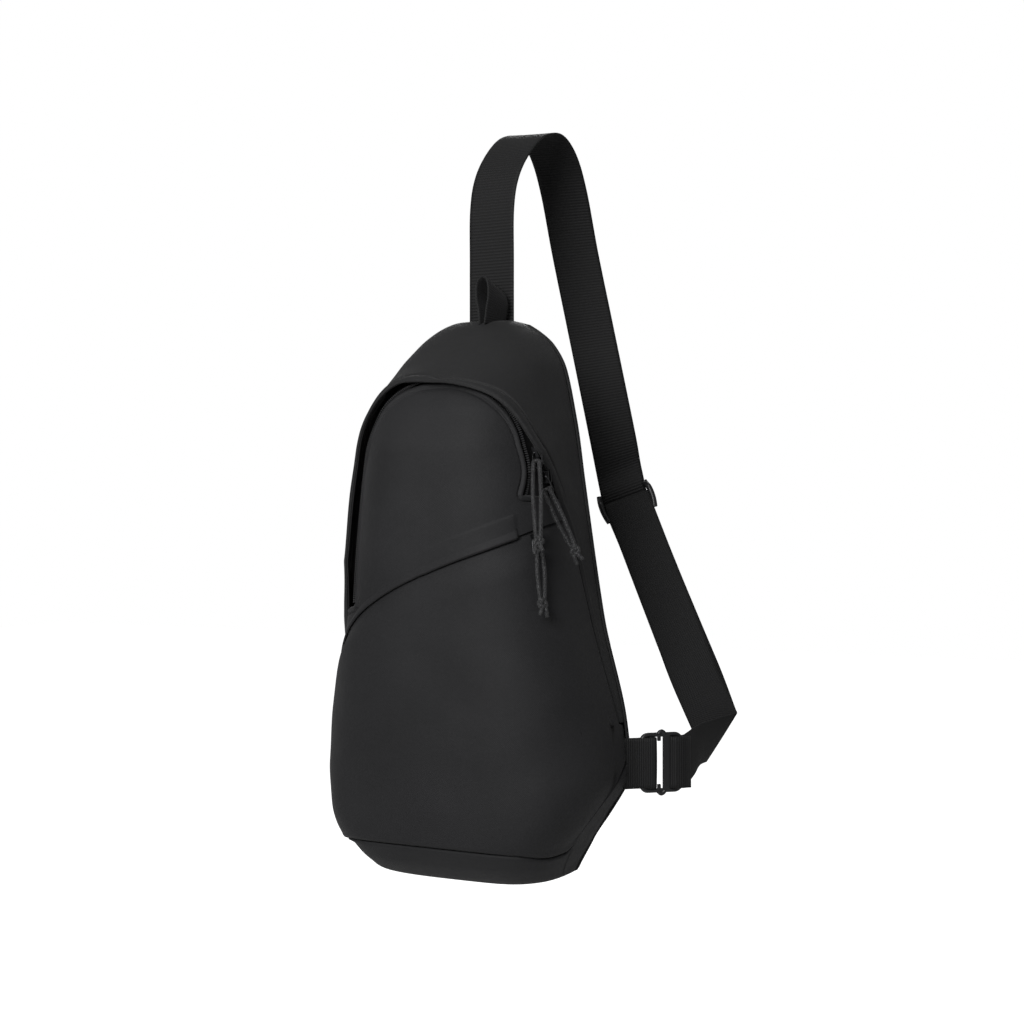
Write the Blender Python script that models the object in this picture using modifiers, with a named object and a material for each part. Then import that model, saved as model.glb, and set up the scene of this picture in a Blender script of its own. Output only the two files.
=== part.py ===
"""Teardrop sling bag with an arched main zip, a slanted front pocket, cord pulls and a
one-shoulder webbing strap.

The bag is drawn in its own millimetres: x to the right, y towards the wearer's back and z
up from the lowest point of the base, with the flat back panel on the plane y = 0.  The
root empty then drops the whole bag so that the world origin is the spot on the underside
of the strap where the shoulder carries it.
"""
import math

import bmesh
import bpy
from mathutils import Matrix, Vector

MM = 0.001

# Driving dimensions, in millimetres.
BAG_HEIGHT = 426.0
WEBBING_WIDTH = 38.0
WEBBING = 1.6
FABRIC = 1.4
SEAM_GAP = 0.6
CORD = 3.0
GUSSET_START = 120.0
BACK_FOAM = 6.0
BASE_EDGE = 0.3
BOARD_GAP = 1.3
BOARD_HEIGHT = 1.0

# Front outline: half width at each height above the base.
HALF_WIDTH = [(0, 58), (10, 74), (30, 95), (55, 109), (85, 116.5), (120, 113.5), (200, 97.5),
              (300, 82), (345, 75.5), (385, 65), (405, 53), (416.5, 39), (423, 25), (426, 1)]
# Side outline: how far the front bulges from the back panel at each height.
BULGE = [(0, 32), (3, 50), (10, 69), (20, 83), (40, 92), (80, 96), (160, 101), (250, 104),
         (320, 102), (350, 92), (374, 75), (396, 54), (412, 36), (422, 19), (426, 2)]
SECTION_POWER = 2.9
CORNER_POWER = 1.5
CORNER_HEIGHT = 35.0

# The zip's arch is a circle in a tilted plane, with a straight left leg below it.
ARCH_CENTRE = (3.0, -62.0, 300.0)
ARCH_RADIUS = 72.0
ARCH_SLOPE_X = 0.075
ARCH_SLOPE_Z = -0.155
LEG_BOTTOM = (-71.0, 208.0)
RIM_LIFT = 9.5
RIM_FADE = 46.0

# Where the strap's crown lies above the bag; its underside is the world origin.
CROWN = (5.0, 78.0, 582.2)

# The lobe inside the arch, the line it folds along, and where that hinge runs.
LOBE_INSET = 4.4
FLAP_START = 24.0
CHORD_RIGHT = (61.5, 326.0)
CHORD_LEFT = (-63.0, 211.0)
FLAP_AXIS_POINT = (0.0, -105.5, 268.5)
LOBE_RIGHT_ANGLE = 45.0
ZIP_END_RIGHT = 279.0
ZIP_END_LEFT = 203.0
FOLD_GAP = 1.0
SIDE_GAP = 1.1
POCKET_GAP = 2.0
POCKET_DEPTH = 12.0
PIPING = 1.2
HEM = 0.8
WELT = 1.0
WELT_WIDTH = 15.0
TAPE = 1.4
TAPE_REACH = 3.6

# Zip sliders and their cord pulls.
SLIDER = (8.0, 9.0)
SLIDER_A_TURN = 17.0
SLIDER_B_TURN = 2.0
BRIDGE_OPENING = 4.15
RING_WIDTH = 7.0
RING_LENGTH = 13.0
RING_WIRE = 1.2
KNOT = 10.0
KNOTS = {"a": (42.5, 254.0, 22.0), "b": (20.0, 247.0, 14.0), "c": (40.0, 211.0, 10.0)}
POCKET_STOPS = (37.0, 52.0, 68.0)

# Strap: centre and width direction from the top seam over the shoulder to the adjuster.
STRAP_KEYS = [(0, 3, 427.2, 1, 0, 0), (0, 3, 470, 1, 0, 0), (0, 3.5, 512, 1, 0, 0),
              (1, 10, 538, 1, 0.03, 0), (3, 26, 560, 1, 0.08, 0), (4, 50, 577, 1, 0.15, 0),
              (5, 78, 583, 0.98, 0.22, 0), (6, 102, 572, 0.95, 0.3, 0.03),
              (9, 119, 545, 0.92, 0.38, 0.06), (15, 131, 495, 0.90, 0.43, 0.09),
              (26, 136, 436, 0.885, 0.45, 0.13), (38, 138, 379, 0.87, 0.45, 0.17),
              (48, 139, 334, 0.855, 0.44, 0.24)]
ADJUSTER_AT = (56.7, 138.0, 284.5)
LOWER_RUN = (0.42, -0.112, -0.888)
ADJUSTER_WIDTH = (0.837, 0.427, 0.342)
ADJUSTER_SIZE = (47.0, 27.0)
ADJUSTER_SLOT = 8.6
ADJUSTER_BAR = 3.2
ADJUSTER_LIFT = 4.7
WRAP_RADIUS = 2.8
STRAP_FOOT = (137, 116.5, 114, 0.78, 0.42, 0.45)

# Side tab, its three bar buckle and the strap's end.
TAB_AT = (117.0, 1.0, 90.0)
TAB_WAY = (0.75, 0.66)
TAB_REACH = 11.4
RING_PLATE = (31.0, 47.0)
RING_BAR = 3.4
RING_MID_BAR = 5.4
RING_MID_SHIFT = 4.0
RING_THICK = 2.6
LOOP_RADIUS = 3.2
END_ROUTE = [(6, 6, 0, 0, 0, 1), (10.5, 28, 2, 0.05, 0.02, 1), (8, 54, 6, 0.2, 0.1, 0.97),
             (-2, 78.4, 12, 0.42, 0.26, 0.87)]

# Grab loop in front of the strap.
GRAB_AT = (2.0, -13.0, 427.6)
GRAB_FACING = (-0.3, -0.95, 0.0)
GRAB_WIDTH = 22.0


def blend_through(points, x):
    """Smooth value at x through (x, value) pairs, without overshoot."""
    last = len(points) - 1
    x = min(max(x, points[0][0]), points[last][0])
    steps = [(b[1] - a[1]) / (b[0] - a[0]) for a, b in zip(points, points[1:])]
    slopes = [steps[0]]
    for before, after in zip(steps, steps[1:]):
        turning = before * after <= 0
        slopes.append(0.0 if turning else 2 * before * after / (before + after))
    slopes.append(0.0)
    cell = 0
    while cell < last - 1 and x > points[cell + 1][0]:
        cell += 1
    (x0, v0), (x1, v1) = points[cell], points[cell + 1]
    h = x1 - x0
    t = (x - x0) / h
    return ((2 * t**3 - 3 * t**2 + 1) * v0 + (t**3 - 2 * t**2 + t) * h * slopes[cell]
            + (3 * t**2 - 2 * t**3) * v1 + (t**3 - t**2) * h * slopes[cell + 1])


def spline(keys, t):
    """Catmull-Rom point at t (0 to 1) through key tuples."""
    spans = len(keys) - 1
    place = min(max(t, 0.0), 1.0) * spans
    cell = min(int(place), spans - 1)
    f = place - cell
    p1 = Vector(keys[cell])
    p2 = Vector(keys[cell + 1])
    p0 = Vector(keys[cell - 1]) if cell > 0 else 2 * p1 - p2
    p3 = Vector(keys[cell + 2]) if cell + 2 <= spans else 2 * p2 - p1
    return 0.5 * (2 * p1 + (p2 - p0) * f + (2 * p0 - 5 * p1 + 4 * p2 - p3) * f**2
                  + (3 * p1 - p0 - 3 * p2 + p3) * f**3)


def section_power(z):
    return SECTION_POWER + CORNER_POWER * math.exp(-((z - CORNER_HEIGHT) / CORNER_HEIGHT)**2)


def shell_point(angle, z):
    """Point on the bag's outer form: angle 0 is the right back edge, 180 the left one."""
    n = section_power(z)
    half = blend_through(HALF_WIDTH, z)
    bulge = blend_through(BULGE, z)
    a = math.radians(min(max(angle, 0.0), 180.0))
    c = math.cos(a)
    x = half * math.copysign(abs(c)**(2 / n), c)
    return Vector((x, -bulge * max(math.sin(a), 0.0)**(2 / n), z))


def shell_normal(angle, z):
    step_a = 1.0 if angle < 90 else -1.0
    step_z = 1.5 if z < BAG_HEIGHT / 2 else -1.5
    here = shell_point(angle, z)
    across = (shell_point(angle + step_a, z) - here) * step_a
    up = (shell_point(angle, z + step_z) - here) * step_z
    normal = up.cross(across)
    if normal.length < 1e-9:
        return Vector((0, -1, 0))
    normal.normalize()
    centre = Vector((0, -40, min(max(here.z, 60), 350)))
    return normal if normal.dot(here - centre) > 0 else -normal


def shell(angle, z, lift=0.0):
    return shell_point(angle, z) + shell_normal(angle, z) * lift


def angle_at(x, z):
    """Angle on the shell whose front view place is x at height z."""
    half = blend_through(HALF_WIDTH, z)
    share = min(abs(x) / half, 0.999)
    a = math.degrees(math.acos(share**(section_power(z) / 2)))
    return a if x >= 0 else 180 - a


# ---------------------------------------------------------------- Blender helpers
def clear_scene():
    for old in list(bpy.data.objects):
        bpy.data.objects.remove(old, do_unlink=True)


def make_material(name, colour, roughness, metallic=0.0):
    made = bpy.data.materials.new(name)
    made.use_nodes = True
    shader = made.node_tree.nodes["Principled BSDF"]
    shader.inputs["Base Color"].default_value = (*colour, 1.0)
    shader.inputs["Roughness"].default_value = roughness
    shader.inputs["Metallic"].default_value = metallic
    return made


def new_collection(name):
    made = bpy.data.collections.new(name)
    bpy.context.scene.collection.children.link(made)
    return made


clear_scene()
BAG = new_collection("sling_bag")
CUTTERS = new_collection("cutters")
FABRIC_BLACK = make_material("black_polyester", (0.026, 0.026, 0.028), 0.75)
LINING_GREY = make_material("grey_lining", (0.10, 0.10, 0.105), 0.7)
WEB_BLACK = make_material("black_webbing", (0.014, 0.014, 0.015), 0.7)
PLASTIC_BLACK = make_material("black_acetal", (0.018, 0.018, 0.019), 0.38)
METAL_BLACK = make_material("black_metal", (0.03, 0.03, 0.032), 0.32, 0.9)
FOAM_BLACK = make_material("black_foam", (0.03, 0.03, 0.03), 0.9)
ROOT = bpy.data.objects.new("bag_frame", None)
ROOT.location = Vector(CROWN) * -MM
BAG.objects.link(ROOT)


def add_object(name, data, material, parent=ROOT, collection=BAG):
    made = bpy.data.objects.new(name, data)
    data.materials.append(material)
    collection.objects.link(made)
    made.parent = parent
    return made


def pivot(name, place, parent=ROOT, rotation=None):
    """Empty that carries a moving piece, placed on its joint's axis."""
    made = bpy.data.objects.new(name, None)
    made.parent = parent
    made.matrix_basis = Matrix.Translation(Vector(place) * MM) @ (rotation or Matrix()).to_4x4()
    BAG.objects.link(made)
    return made


def mesh_from(name, bm):
    bmesh.ops.recalc_face_normals(bm, faces=bm.faces)
    data = bpy.data.meshes.new(name)
    bm.to_mesh(data)
    bm.free()
    return data


def solidify(piece, thickness):
    shell_mod = piece.modifiers.new("thickness", "SOLIDIFY")
    shell_mod.thickness = thickness * MM
    shell_mod.offset = -1.0
    shell_mod.use_even_offset = False


def sheet(name, place, rows, cols, thickness, material, parent=ROOT):
    """Open grid of place(s, t), s and t from 0 to 1, thickened inwards."""
    grid = bmesh.new()
    verts = [[grid.verts.new(place(i / rows, j / cols) * MM) for j in range(cols + 1)]
             for i in range(rows + 1)]
    for i in range(rows):
        for j in range(cols):
            grid.faces.new((verts[i][j], verts[i][j + 1], verts[i + 1][j + 1], verts[i + 1][j]))
    data = mesh_from(name, grid)
    face = data.polygons[len(data.polygons) // 2]
    outward = place(0.5, 0.5) - Vector((0, -40, min(max(face.center.z / MM, 60), 330)))
    if face.normal.dot(outward) < 0:
        data.flip_normals()
    piece = add_object(name, data, material, parent)
    solidify(piece, thickness)
    return piece


def in_parent(points, parent):
    """Bag millimetres to the parent's own metres."""
    inverse = (ROOT.matrix_basis.inverted() @ chain_matrix(parent)).inverted()
    return [inverse @ (Vector(p) * MM) for p in points]


def chain_matrix(item):
    total = item.matrix_basis.copy()
    while item.parent:
        item = item.parent
        total = item.matrix_basis @ total
    return total


def tube(name, points, diameter, material, parent=ROOT, sides=2, cyclic=False):
    """Round bar along points given in bag millimetres."""
    curve = bpy.data.curves.new(name, "CURVE")
    curve.dimensions = "3D"
    curve.bevel_depth = diameter / 2 * MM
    curve.bevel_resolution = sides
    curve.use_fill_caps = not cyclic
    line = curve.splines.new("POLY")
    line.points.add(len(points) - 1)
    for slot, point in zip(line.points, in_parent(points, parent)):
        slot.co = (*point, 1.0)
    line.use_cyclic_u = cyclic
    return add_object(name, curve, material, parent)


def smooth_route(keys, count):
    return [spline(keys, k / (count - 1)) for k in range(count)]


def ribbon(name, keys, width, thickness, count, material, parent=ROOT, trim=0.0):
    """Flat strap: keys are (x, y, z, wx, wy, wz), the centre and the width direction."""
    grid = bmesh.new()
    rows = []
    for k in range(count + 1):
        key = spline(keys, trim + (1 - 2 * trim) * k / count)
        centre = Vector(key[:3])
        side = Vector(key[3:]).normalized() * width / 2
        pair = in_parent([centre - side, centre + side], parent)
        rows.append([grid.verts.new(p) for p in pair])
    for near, far in zip(rows, rows[1:]):
        grid.faces.new((near[0], near[1], far[1], far[0]))
    piece = add_object(name, mesh_from(name, grid), material, parent)
    shell_mod = piece.modifiers.new("thickness", "SOLIDIFY")
    shell_mod.thickness = thickness * MM
    shell_mod.offset = 0.0
    return piece


def outline_plate(name, outline, thickness, material, parent=ROOT, holes=()):
    """Flat plate in the parent's x-y plane, centred on it, from a 2D outline in mm."""
    curve = bpy.data.curves.new(name, "CURVE")
    curve.dimensions = "2D"
    curve.fill_mode = "BOTH"
    curve.extrude = thickness / 2 * MM
    for loop in (outline, *holes):
        line = curve.splines.new("POLY")
        line.points.add(len(loop) - 1)
        for slot, (x, y) in zip(line.points, loop):
            slot.co = (x * MM, y * MM, 0.0, 1.0)
        line.use_cyclic_u = True
    return add_object(name, curve, material, parent)


def arc(centre, radius, start, stop, steps):
    turn = (stop - start) / steps
    return [(centre[0] + radius * math.cos(math.radians(start + turn * k)),
             centre[1] + radius * math.sin(math.radians(start + turn * k)))
            for k in range(steps + 1)]


def rounded_box_outline(width, height, radius, steps=3):
    x = width / 2 - radius
    y = height / 2 - radius
    return (arc((x, y), radius, 0, 90, steps) + arc((-x, y), radius, 90, 180, steps)
            + arc((-x, -y), radius, 180, 270, steps) + arc((x, -y), radius, 270, 360, steps))


# ---------------------------------------------------------------- the seams
HOOD_EDGE = [(1.5, 121), (3, 149), (4, 186), (6, 222), (10, 266), (20, 299), (33, 323),
             (46, 344), (59, 356), (78, 364), (97, 368.5), (112, 366.5), (128, 352), (143, 328),
             (148, 290), (148, 250), (148, 212), (164, 168), (178, 124)]
HOOD_BACK = [(0, 121), (0, 149), (0, 186), (0, 222), (0, 266), (0, 306), (0, 345), (0, 382),
             (0, 408), (0, 423), (90, 425.8), (180, 421), (180, 402), (180, 360), (180, 312),
             (180, 262), (180, 216), (180, 168), (180, 124)]
RIM_FIRST = 4.5 / 18
RIM_LAST = 16.6 / 18
POCKET_LINE = [(12, 272), (30, 267), (48, 259), (68, 249), (84, 239), (92, 229), (101, 219),
               (112, 209), (128, 197), (140, 178), (152, 163), (168, 152)]
BASE_SEAM = [(0, 60), (7, 45), (12, 30), (25, 27), (60, 31), (90, 32), (120, 31), (155, 27),
             (168, 30), (173, 45), (180, 60)]
SIDE_SEAM = [(GUSSET_START, 1.5), (149, 3), (186, 4), (222, 6), (266, 10), (300, 17)]


def side_seam_angle(z):
    """Angle of the side seam at height z, where the gusset meets the front."""
    return 0.0 if z < GUSSET_START else blend_through(SIDE_SEAM, z)


def left_seam_angle(z):
    if z < GUSSET_START:
        return 180.0
    return blend_through([(GUSSET_START, 178), (168, 164), (212, 149), (250, 148)], z)


def base_height(f):
    return blend_through(BASE_SEAM, 180 * f)


def rim_lift(t):
    """How far the hood's free edge stands proud: nothing along the side seams."""
    inside = min(t - RIM_FIRST, RIM_LAST - t)
    return RIM_LIFT * min(max(inside * 14, 0.0), 1.0)


def hood_point(s, t, lift=0.0):
    """From the free edge (s = 0) to the back seam (s = 1)."""
    edge = spline(HOOD_EDGE, t)
    back = spline(HOOD_BACK, t)
    key = edge.lerp(back, s)
    base = shell(key.x, key.y)
    from_edge = (base - shell(edge.x, edge.y)).length
    fade = max(1 - from_edge / RIM_FADE, 0.0)**2
    return shell(key.x, key.y, lift + rim_lift(t) * fade)


def arch_xz(turn, radius):
    """Front view place on the zip's arch: turn 0 is its right end, 180 its left side."""
    return (ARCH_CENTRE[0] + radius * math.cos(math.radians(turn)),
            ARCH_CENTRE[2] + radius * math.sin(math.radians(turn)))


def flap_edge(t, inset):
    """Front view edge of the lobe, inset from the zip, from its right end to its left end."""
    radius = ARCH_RADIUS - inset
    share = 0.72
    if t < share:
        return arch_xz(FLAP_START + (180 - FLAP_START) * t / share, radius)
    top = arch_xz(180, radius)
    f = (t - share) / (1 - share)
    return (top[0] + (LEG_BOTTOM[0] + inset - top[0]) * f,
            top[1] + (LEG_BOTTOM[1] - top[1]) * f)


# ---------------------------------------------------------------- body panels
def front_key(z, t):
    """Angle on the front between its two side seams at height z."""
    right = side_seam_angle(z) + (SIDE_GAP if z > GUSSET_START else 0.0)
    left = left_seam_angle(z) - (SIDE_GAP if z > GUSSET_START else 0.0)
    return right + (left - right) * t


def pocket_top(t):
    """Height where column t of the front meets the slanted opening."""
    z = 220.0
    for _ in range(12):
        z = (z + blend_through(POCKET_LINE, front_key(z, t))) / 2
    return z


def chord_height(x):
    share = (x - CHORD_RIGHT[0]) / (CHORD_LEFT[0] - CHORD_RIGHT[0])
    return CHORD_RIGHT[1] + (CHORD_LEFT[1] - CHORD_RIGHT[1]) * share


def lower_top(angle):
    """Upper edge of the lobe's fixed part: the fold line, with the zip's ends beside it."""
    if angle < LOBE_RIGHT_ANGLE:
        return ZIP_END_RIGHT
    z = 270.0
    for _ in range(14):
        z = (z + chord_height(shell_point(angle, z).x)) / 2
    leg = blend_through([(120, 214), (126, ZIP_END_LEFT), (145, ZIP_END_LEFT), (160, 165)], angle)
    return min(z, leg) if angle > 118 else z


def build_front():
    def pocket(s, t):
        low = base_height(t) + SEAM_GAP
        z = low + (pocket_top(t) - POCKET_GAP - low) * s
        return shell(front_key(z, t), z)

    def lower(s, t):
        angle = 14.2 + 142.0 * t
        low = blend_through(POCKET_LINE, angle) + SEAM_GAP
        return shell(angle, low + (lower_top(angle) - FOLD_GAP - low) * s)

    def welt(s, t):
        angle = 26 + 84 * t
        z = blend_through(POCKET_LINE, angle) - 1.0 + WELT_WIDTH * s
        return shell(angle, z, 0.4 + WELT)

    def divider(s, t):
        z = 45 + (pocket_top(t) - 62) * s
        return shell(front_key(z, 0.08 + 0.84 * t), z, -POCKET_DEPTH)

    sheet("front_pocket_panel", pocket, 9, 26, FABRIC, FABRIC_BLACK)
    sheet("lower_lobe_panel", lower, 4, 37, FABRIC, FABRIC_BLACK)
    sheet("pocket_welt", welt, 2, 20, WELT, FABRIC_BLACK)
    sheet("pocket_divider", divider, 6, 14, FABRIC, LINING_GREY)


def build_pocket_zip():
    def band(low, high, inset):
        def place(s, t):
            angle = 26 + 112 * t
            return shell(angle, blend_through(POCKET_LINE, angle) + low + (high - low) * s, inset)
        return place

    sheet("pocket_zip_tape", band(-9, 9, -FABRIC - 0.5), 2, 20, 0.8, WEB_BLACK)
    sheet("pocket_zip_coil", band(-2.5, 2.5, -FABRIC - 1.7), 1, 20, 1.8, PLASTIC_BLACK)


def build_hood():
    sheet("hood_panel", lambda s, t: hood_point(s, t), 6, 48, FABRIC, FABRIC_BLACK)

    def hem(s, t):
        along = RIM_FIRST + 0.02 + (RIM_LAST - RIM_FIRST - 0.04) * t
        return hood_point(0.02 + 0.12 * s, along, -FABRIC - 0.65)

    sheet("hood_hem_facing", hem, 1, 34, HEM, FABRIC_BLACK)


def build_base():
    def panel(s, t):
        high = base_height(t) - SEAM_GAP
        return shell(180 * t, BASE_EDGE + (high - BASE_EDGE) * s)

    sheet("base_front_panel", panel, 4, 26, FABRIC, FABRIC_BLACK)

    middle = Vector((0, -BULGE[0][1] / 2, 0))
    outline = []
    for angle in range(0, 181, 12):
        edge = shell_point(angle, BASE_EDGE)
        edge -= (edge - middle).normalized() * BOARD_GAP
        outline.append((edge.x, min(edge.y, -BOARD_GAP)))
    stand = pivot("base_place", (0, 0, BOARD_HEIGHT))
    outline_plate("base_board", outline, FABRIC, FABRIC_BLACK, stand)


def back_outline(inset):
    heights = [0, 4, 10, 20, 32, 46, 60, 78, 100, 125, 160, 200, 250, 300, 345, 370, 390, 405,
               415, 421, 425]
    lowest = inset + 0.4
    top = BAG_HEIGHT - inset - 0.4
    side = []
    for z in heights:
        place = lowest + (top - lowest) * z / 425
        side.append((max(blend_through(HALF_WIDTH, z) - inset, 2.0), place))
    return side + [(-x, z) for x, z in reversed(side)]


def build_back():
    layers = [("back_lining", 0.4, FABRIC, 1.5, LINING_GREY),
              ("back_foam", 0.8 + FABRIC, BACK_FOAM, 7.0, FOAM_BLACK),
              ("back_panel", 1.2 + FABRIC + BACK_FOAM, FABRIC, 0.0, FABRIC_BLACK)]
    for name, start, thick, inset, material in layers:
        stand = pivot(name + "_place", (0, start + thick / 2, 0), ROOT,
                      Matrix.Rotation(math.radians(90), 3, "X"))
        outline_plate(name, back_outline(inset), thick, material, stand)


# ---------------------------------------------------------------- main zip and its flap
U_AXIS = Vector((1, ARCH_SLOPE_X, 0)).normalized()
N_AXIS = Vector((ARCH_SLOPE_X, -1, ARCH_SLOPE_Z)).normalized()
V_AXIS = N_AXIS.cross(U_AXIS)
ZIP_TURN = Matrix((U_AXIS, V_AXIS, N_AXIS)).transposed()


def zip_pivot(name, parent=ROOT):
    return pivot(name, ARCH_CENTRE, parent, ZIP_TURN)


def zip_point(radius, turn, out):
    flat = (U_AXIS * math.cos(math.radians(turn)) + V_AXIS * math.sin(math.radians(turn)))
    return Vector(ARCH_CENTRE) + flat * radius + N_AXIS * out


def ring_band(inner, outer, start, stop, steps):
    return arc((0, 0), outer, start, stop, steps) + arc((0, 0), inner, stop, start, steps)


def build_main_zip():
    frame = zip_pivot("zip_frame")
    outer = ring_band(ARCH_RADIUS + 0.8, ARCH_RADIUS + TAPE_REACH, -4, 184, 28)
    outline_plate("hood_zip_tape", outer, TAPE, WEB_BLACK, frame)

    def leg(s, t):
        x = -ARCH_RADIUS + 1 + 6 * s
        z = 283 - 62 * t
        return shell(angle_at(x, z), z, -3.4)

    sheet("zip_leg", leg, 1, 8, TAPE, WEB_BLACK)
    for name, turn in (("zip_stop_right", -8.5), ("zip_stop_left", 191.5)):
        centre = zip_point(ARCH_RADIUS, turn, 0)
        box(name, centre, (9, 3, 3), METAL_BLACK, ROOT, ZIP_TURN @ Matrix.Rotation(
            math.radians(turn), 3, "Z"))


def build_flap():
    axis_turn = Vector((CHORD_RIGHT[0] - CHORD_LEFT[0], 0, CHORD_RIGHT[1] - CHORD_LEFT[1]))
    hinge = pivot("flap_hinge", FLAP_AXIS_POINT, ROOT, axis_turn.to_track_quat("X", "Z").to_matrix())

    def lobe(s, t):
        x, z = flap_edge(t, LOBE_INSET + 3.6)
        cx = CHORD_RIGHT[0] + (CHORD_LEFT[0] - CHORD_RIGHT[0]) * t
        cz = CHORD_RIGHT[1] + (CHORD_LEFT[1] - CHORD_RIGHT[1]) * t + SEAM_GAP
        px = cx + (x - cx) * s
        pz = cz + (z - cz) * s
        return shell(angle_at(px, pz), pz)

    def piping(s, t):
        x, z = flap_edge(t, LOBE_INSET + 3.0 - 3.0 * s)
        return shell(angle_at(x, z), z, 0.2)

    on_hinge(sheet("front_flap", lobe, 8, 30, FABRIC, FABRIC_BLACK), hinge)
    on_hinge(sheet("flap_piping", piping, 1, 36, PIPING, FABRIC_BLACK), hinge)
    band = ring_band(ARCH_RADIUS - 8.5, ARCH_RADIUS - 4.6, 40, 176, 22)
    frame = zip_pivot("flap_zip_frame")
    on_hinge(outline_plate("flap_zip_tape", band, TAPE, WEB_BLACK, frame), hinge)
    return hinge


def on_hinge(piece, hinge):
    """Hang a placed piece on a joint's empty without moving it."""
    here = chain_matrix(piece)
    piece.parent = hinge
    piece.matrix_basis = chain_matrix(hinge).inverted() @ here
    return piece


def box(name, centre, size, material, parent=ROOT, turn=None, collection=None):
    """Box given by its centre and size in bag millimetres."""
    bm = bmesh.new()
    bmesh.ops.create_cube(bm, size=1.0)
    bmesh.ops.scale(bm, vec=Vector(size) * MM, verts=bm.verts)
    piece = add_object(name, mesh_from(name, bm), material, parent, collection or BAG)
    piece.matrix_basis = (Matrix.Translation(Vector(centre) * MM)
                          @ (turn or Matrix.Identity(3)).to_4x4())
    return piece


def union(piece, helper):
    """Join a helper solid to a piece; the helper itself is left out."""
    helper.hide_render = True
    helper.display_type = "WIRE"
    join = piece.modifiers.new("join", "BOOLEAN")
    join.operation = "UNION"
    join.object = helper
    return piece


def slider(name, centre, turn, parent):
    """Zip slider: two plates joined by a thin post, with a bridge for the pull ring.

    Its own x runs across the zip, y along it and z outwards.
    """
    def part(tag, at, size):
        spot = Vector(centre) + turn @ Vector(at)
        if not tag:
            return box(name, spot, size, METAL_BLACK, ROOT, turn)
        return box(f"{name}_{tag}", spot, size, METAL_BLACK, ROOT, turn, CUTTERS)

    body = part("", (0, 0, 2.4), (SLIDER[0], SLIDER[1], 1.4))
    shapes = [("post", (0, 0.5, 0), (0.9, 4.0, 4.4)), ("under", (0, 0, -2.4), (*SLIDER, 1.4)),
              ("foot_low", (0, -2.9, 4.0), (2.0, 1.3, 3.0)),
              ("foot_high", (0, 2.9, 4.0), (2.0, 1.3, 3.0)), ("bridge", (0, 0, 5.9), (2.0, 7.1, 1.3))]
    for tag, at, size in shapes:
        helper = part(tag, at, size)
        union(body, helper)
        on_hinge(helper, parent)
    return on_hinge(body, parent)


def pull(tag, top, knot, across, parent):
    """Cord pull: a wire ring in the slider's bridge, two strands and their knot."""
    top = Vector(top)
    down = (Vector(knot) - top).normalized()
    side = (Vector(across) - down * Vector(across).dot(down)).normalized()
    out = down.cross(side)
    if out.y > 0:
        out = -out
    ring_half = RING_WIDTH / 2
    loop = []
    for x, y in rounded_box_outline(RING_WIDTH, RING_LENGTH, ring_half - 0.6, 4):
        loop.append(top + side * x + down * (y + RING_LENGTH / 2))
    tube(f"pull_{tag}_ring", loop, RING_WIRE, METAL_BLACK, parent, 2, True)
    start = top + down * (RING_LENGTH - RING_WIRE / 2 - CORD / 2 - 1.5)
    length = (Vector(knot) - start).length
    for number, hand in ((1, -1), (2, 1)):
        keys = [start + side * hand * 1.65 + out * 2.4,
                start + side * hand * 2.3 + out * 2.5 + down * 3.0,
                start + side * hand * 3.0 + out * 2.0 + down * length * 0.4,
                start + side * hand * 2.5 + out * 0.6 + down * length * 0.75,
                start + side * hand * 1.75 + down * (length - KNOT / 2 - 0.6)]
        tube(f"pull_{tag}_strand_{number}", smooth_route([tuple(k) for k in keys], 12), CORD,
             FABRIC_BLACK, parent)
    ball = bmesh.new()
    bmesh.ops.create_uvsphere(ball, u_segments=12, v_segments=8, radius=KNOT / 2 * MM)
    blob = add_object(f"pull_{tag}_knot", mesh_from(f"pull_{tag}_knot", ball), FABRIC_BLACK, ROOT)
    blob.matrix_basis = Matrix.Translation(Vector(knot) * MM)
    for hand in (-1, 1):
        tail = tube(f"pull_{tag}_tail", [Vector(knot), Vector(knot) + down * (KNOT / 2 + 4)
                    + side * hand * 3.2], CORD, FABRIC_BLACK, ROOT)
        union(blob, as_mesh(tail))
    on_hinge(blob, parent)


def as_mesh(curve_object):
    """Closed mesh helper made from a tube."""
    bpy.context.view_layer.update()
    graph = bpy.context.evaluated_depsgraph_get()
    data = bpy.data.meshes.new_from_object(curve_object.evaluated_get(graph))
    bm = bmesh.new()
    bm.from_mesh(data)
    bmesh.ops.remove_doubles(bm, verts=bm.verts, dist=1e-6)
    bm.to_mesh(data)
    bm.free()
    name = curve_object.name
    helper = bpy.data.objects.new(name + "_solid", data)
    helper.parent = curve_object.parent
    helper.matrix_basis = curve_object.matrix_basis
    CUTTERS.objects.link(helper)
    bpy.data.objects.remove(curve_object, do_unlink=True)
    return helper


def build_sliders():
    for tag, turn in (("a", SLIDER_A_TURN), ("b", SLIDER_B_TURN)):
        frame = zip_pivot(f"slider_{tag}_axis")
        facing = ZIP_TURN @ Matrix.Rotation(math.radians(turn), 3, "Z")
        slider(f"slider_{tag}", zip_point(ARCH_RADIUS, turn, 0), facing, frame)
        top = zip_point(ARCH_RADIUS, turn, BRIDGE_OPENING)
        knot = shell(*KNOTS[tag])
        hold = pivot(f"pull_{tag}_hinge", in_parent([top], frame)[0] / MM, frame)
        pull(tag, top, knot, U_AXIS, hold)


def circle_through(a, b, c):
    """Centre, axis and radius of the circle through three points."""
    ab = b - a
    ac = c - a
    axis = ab.cross(ac)
    centre = a + (axis.cross(ab) * ac.length_squared + ac.cross(axis) * ab.length_squared) / (
        2 * axis.length_squared)
    return centre, axis.normalized(), (a - centre).length


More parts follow.
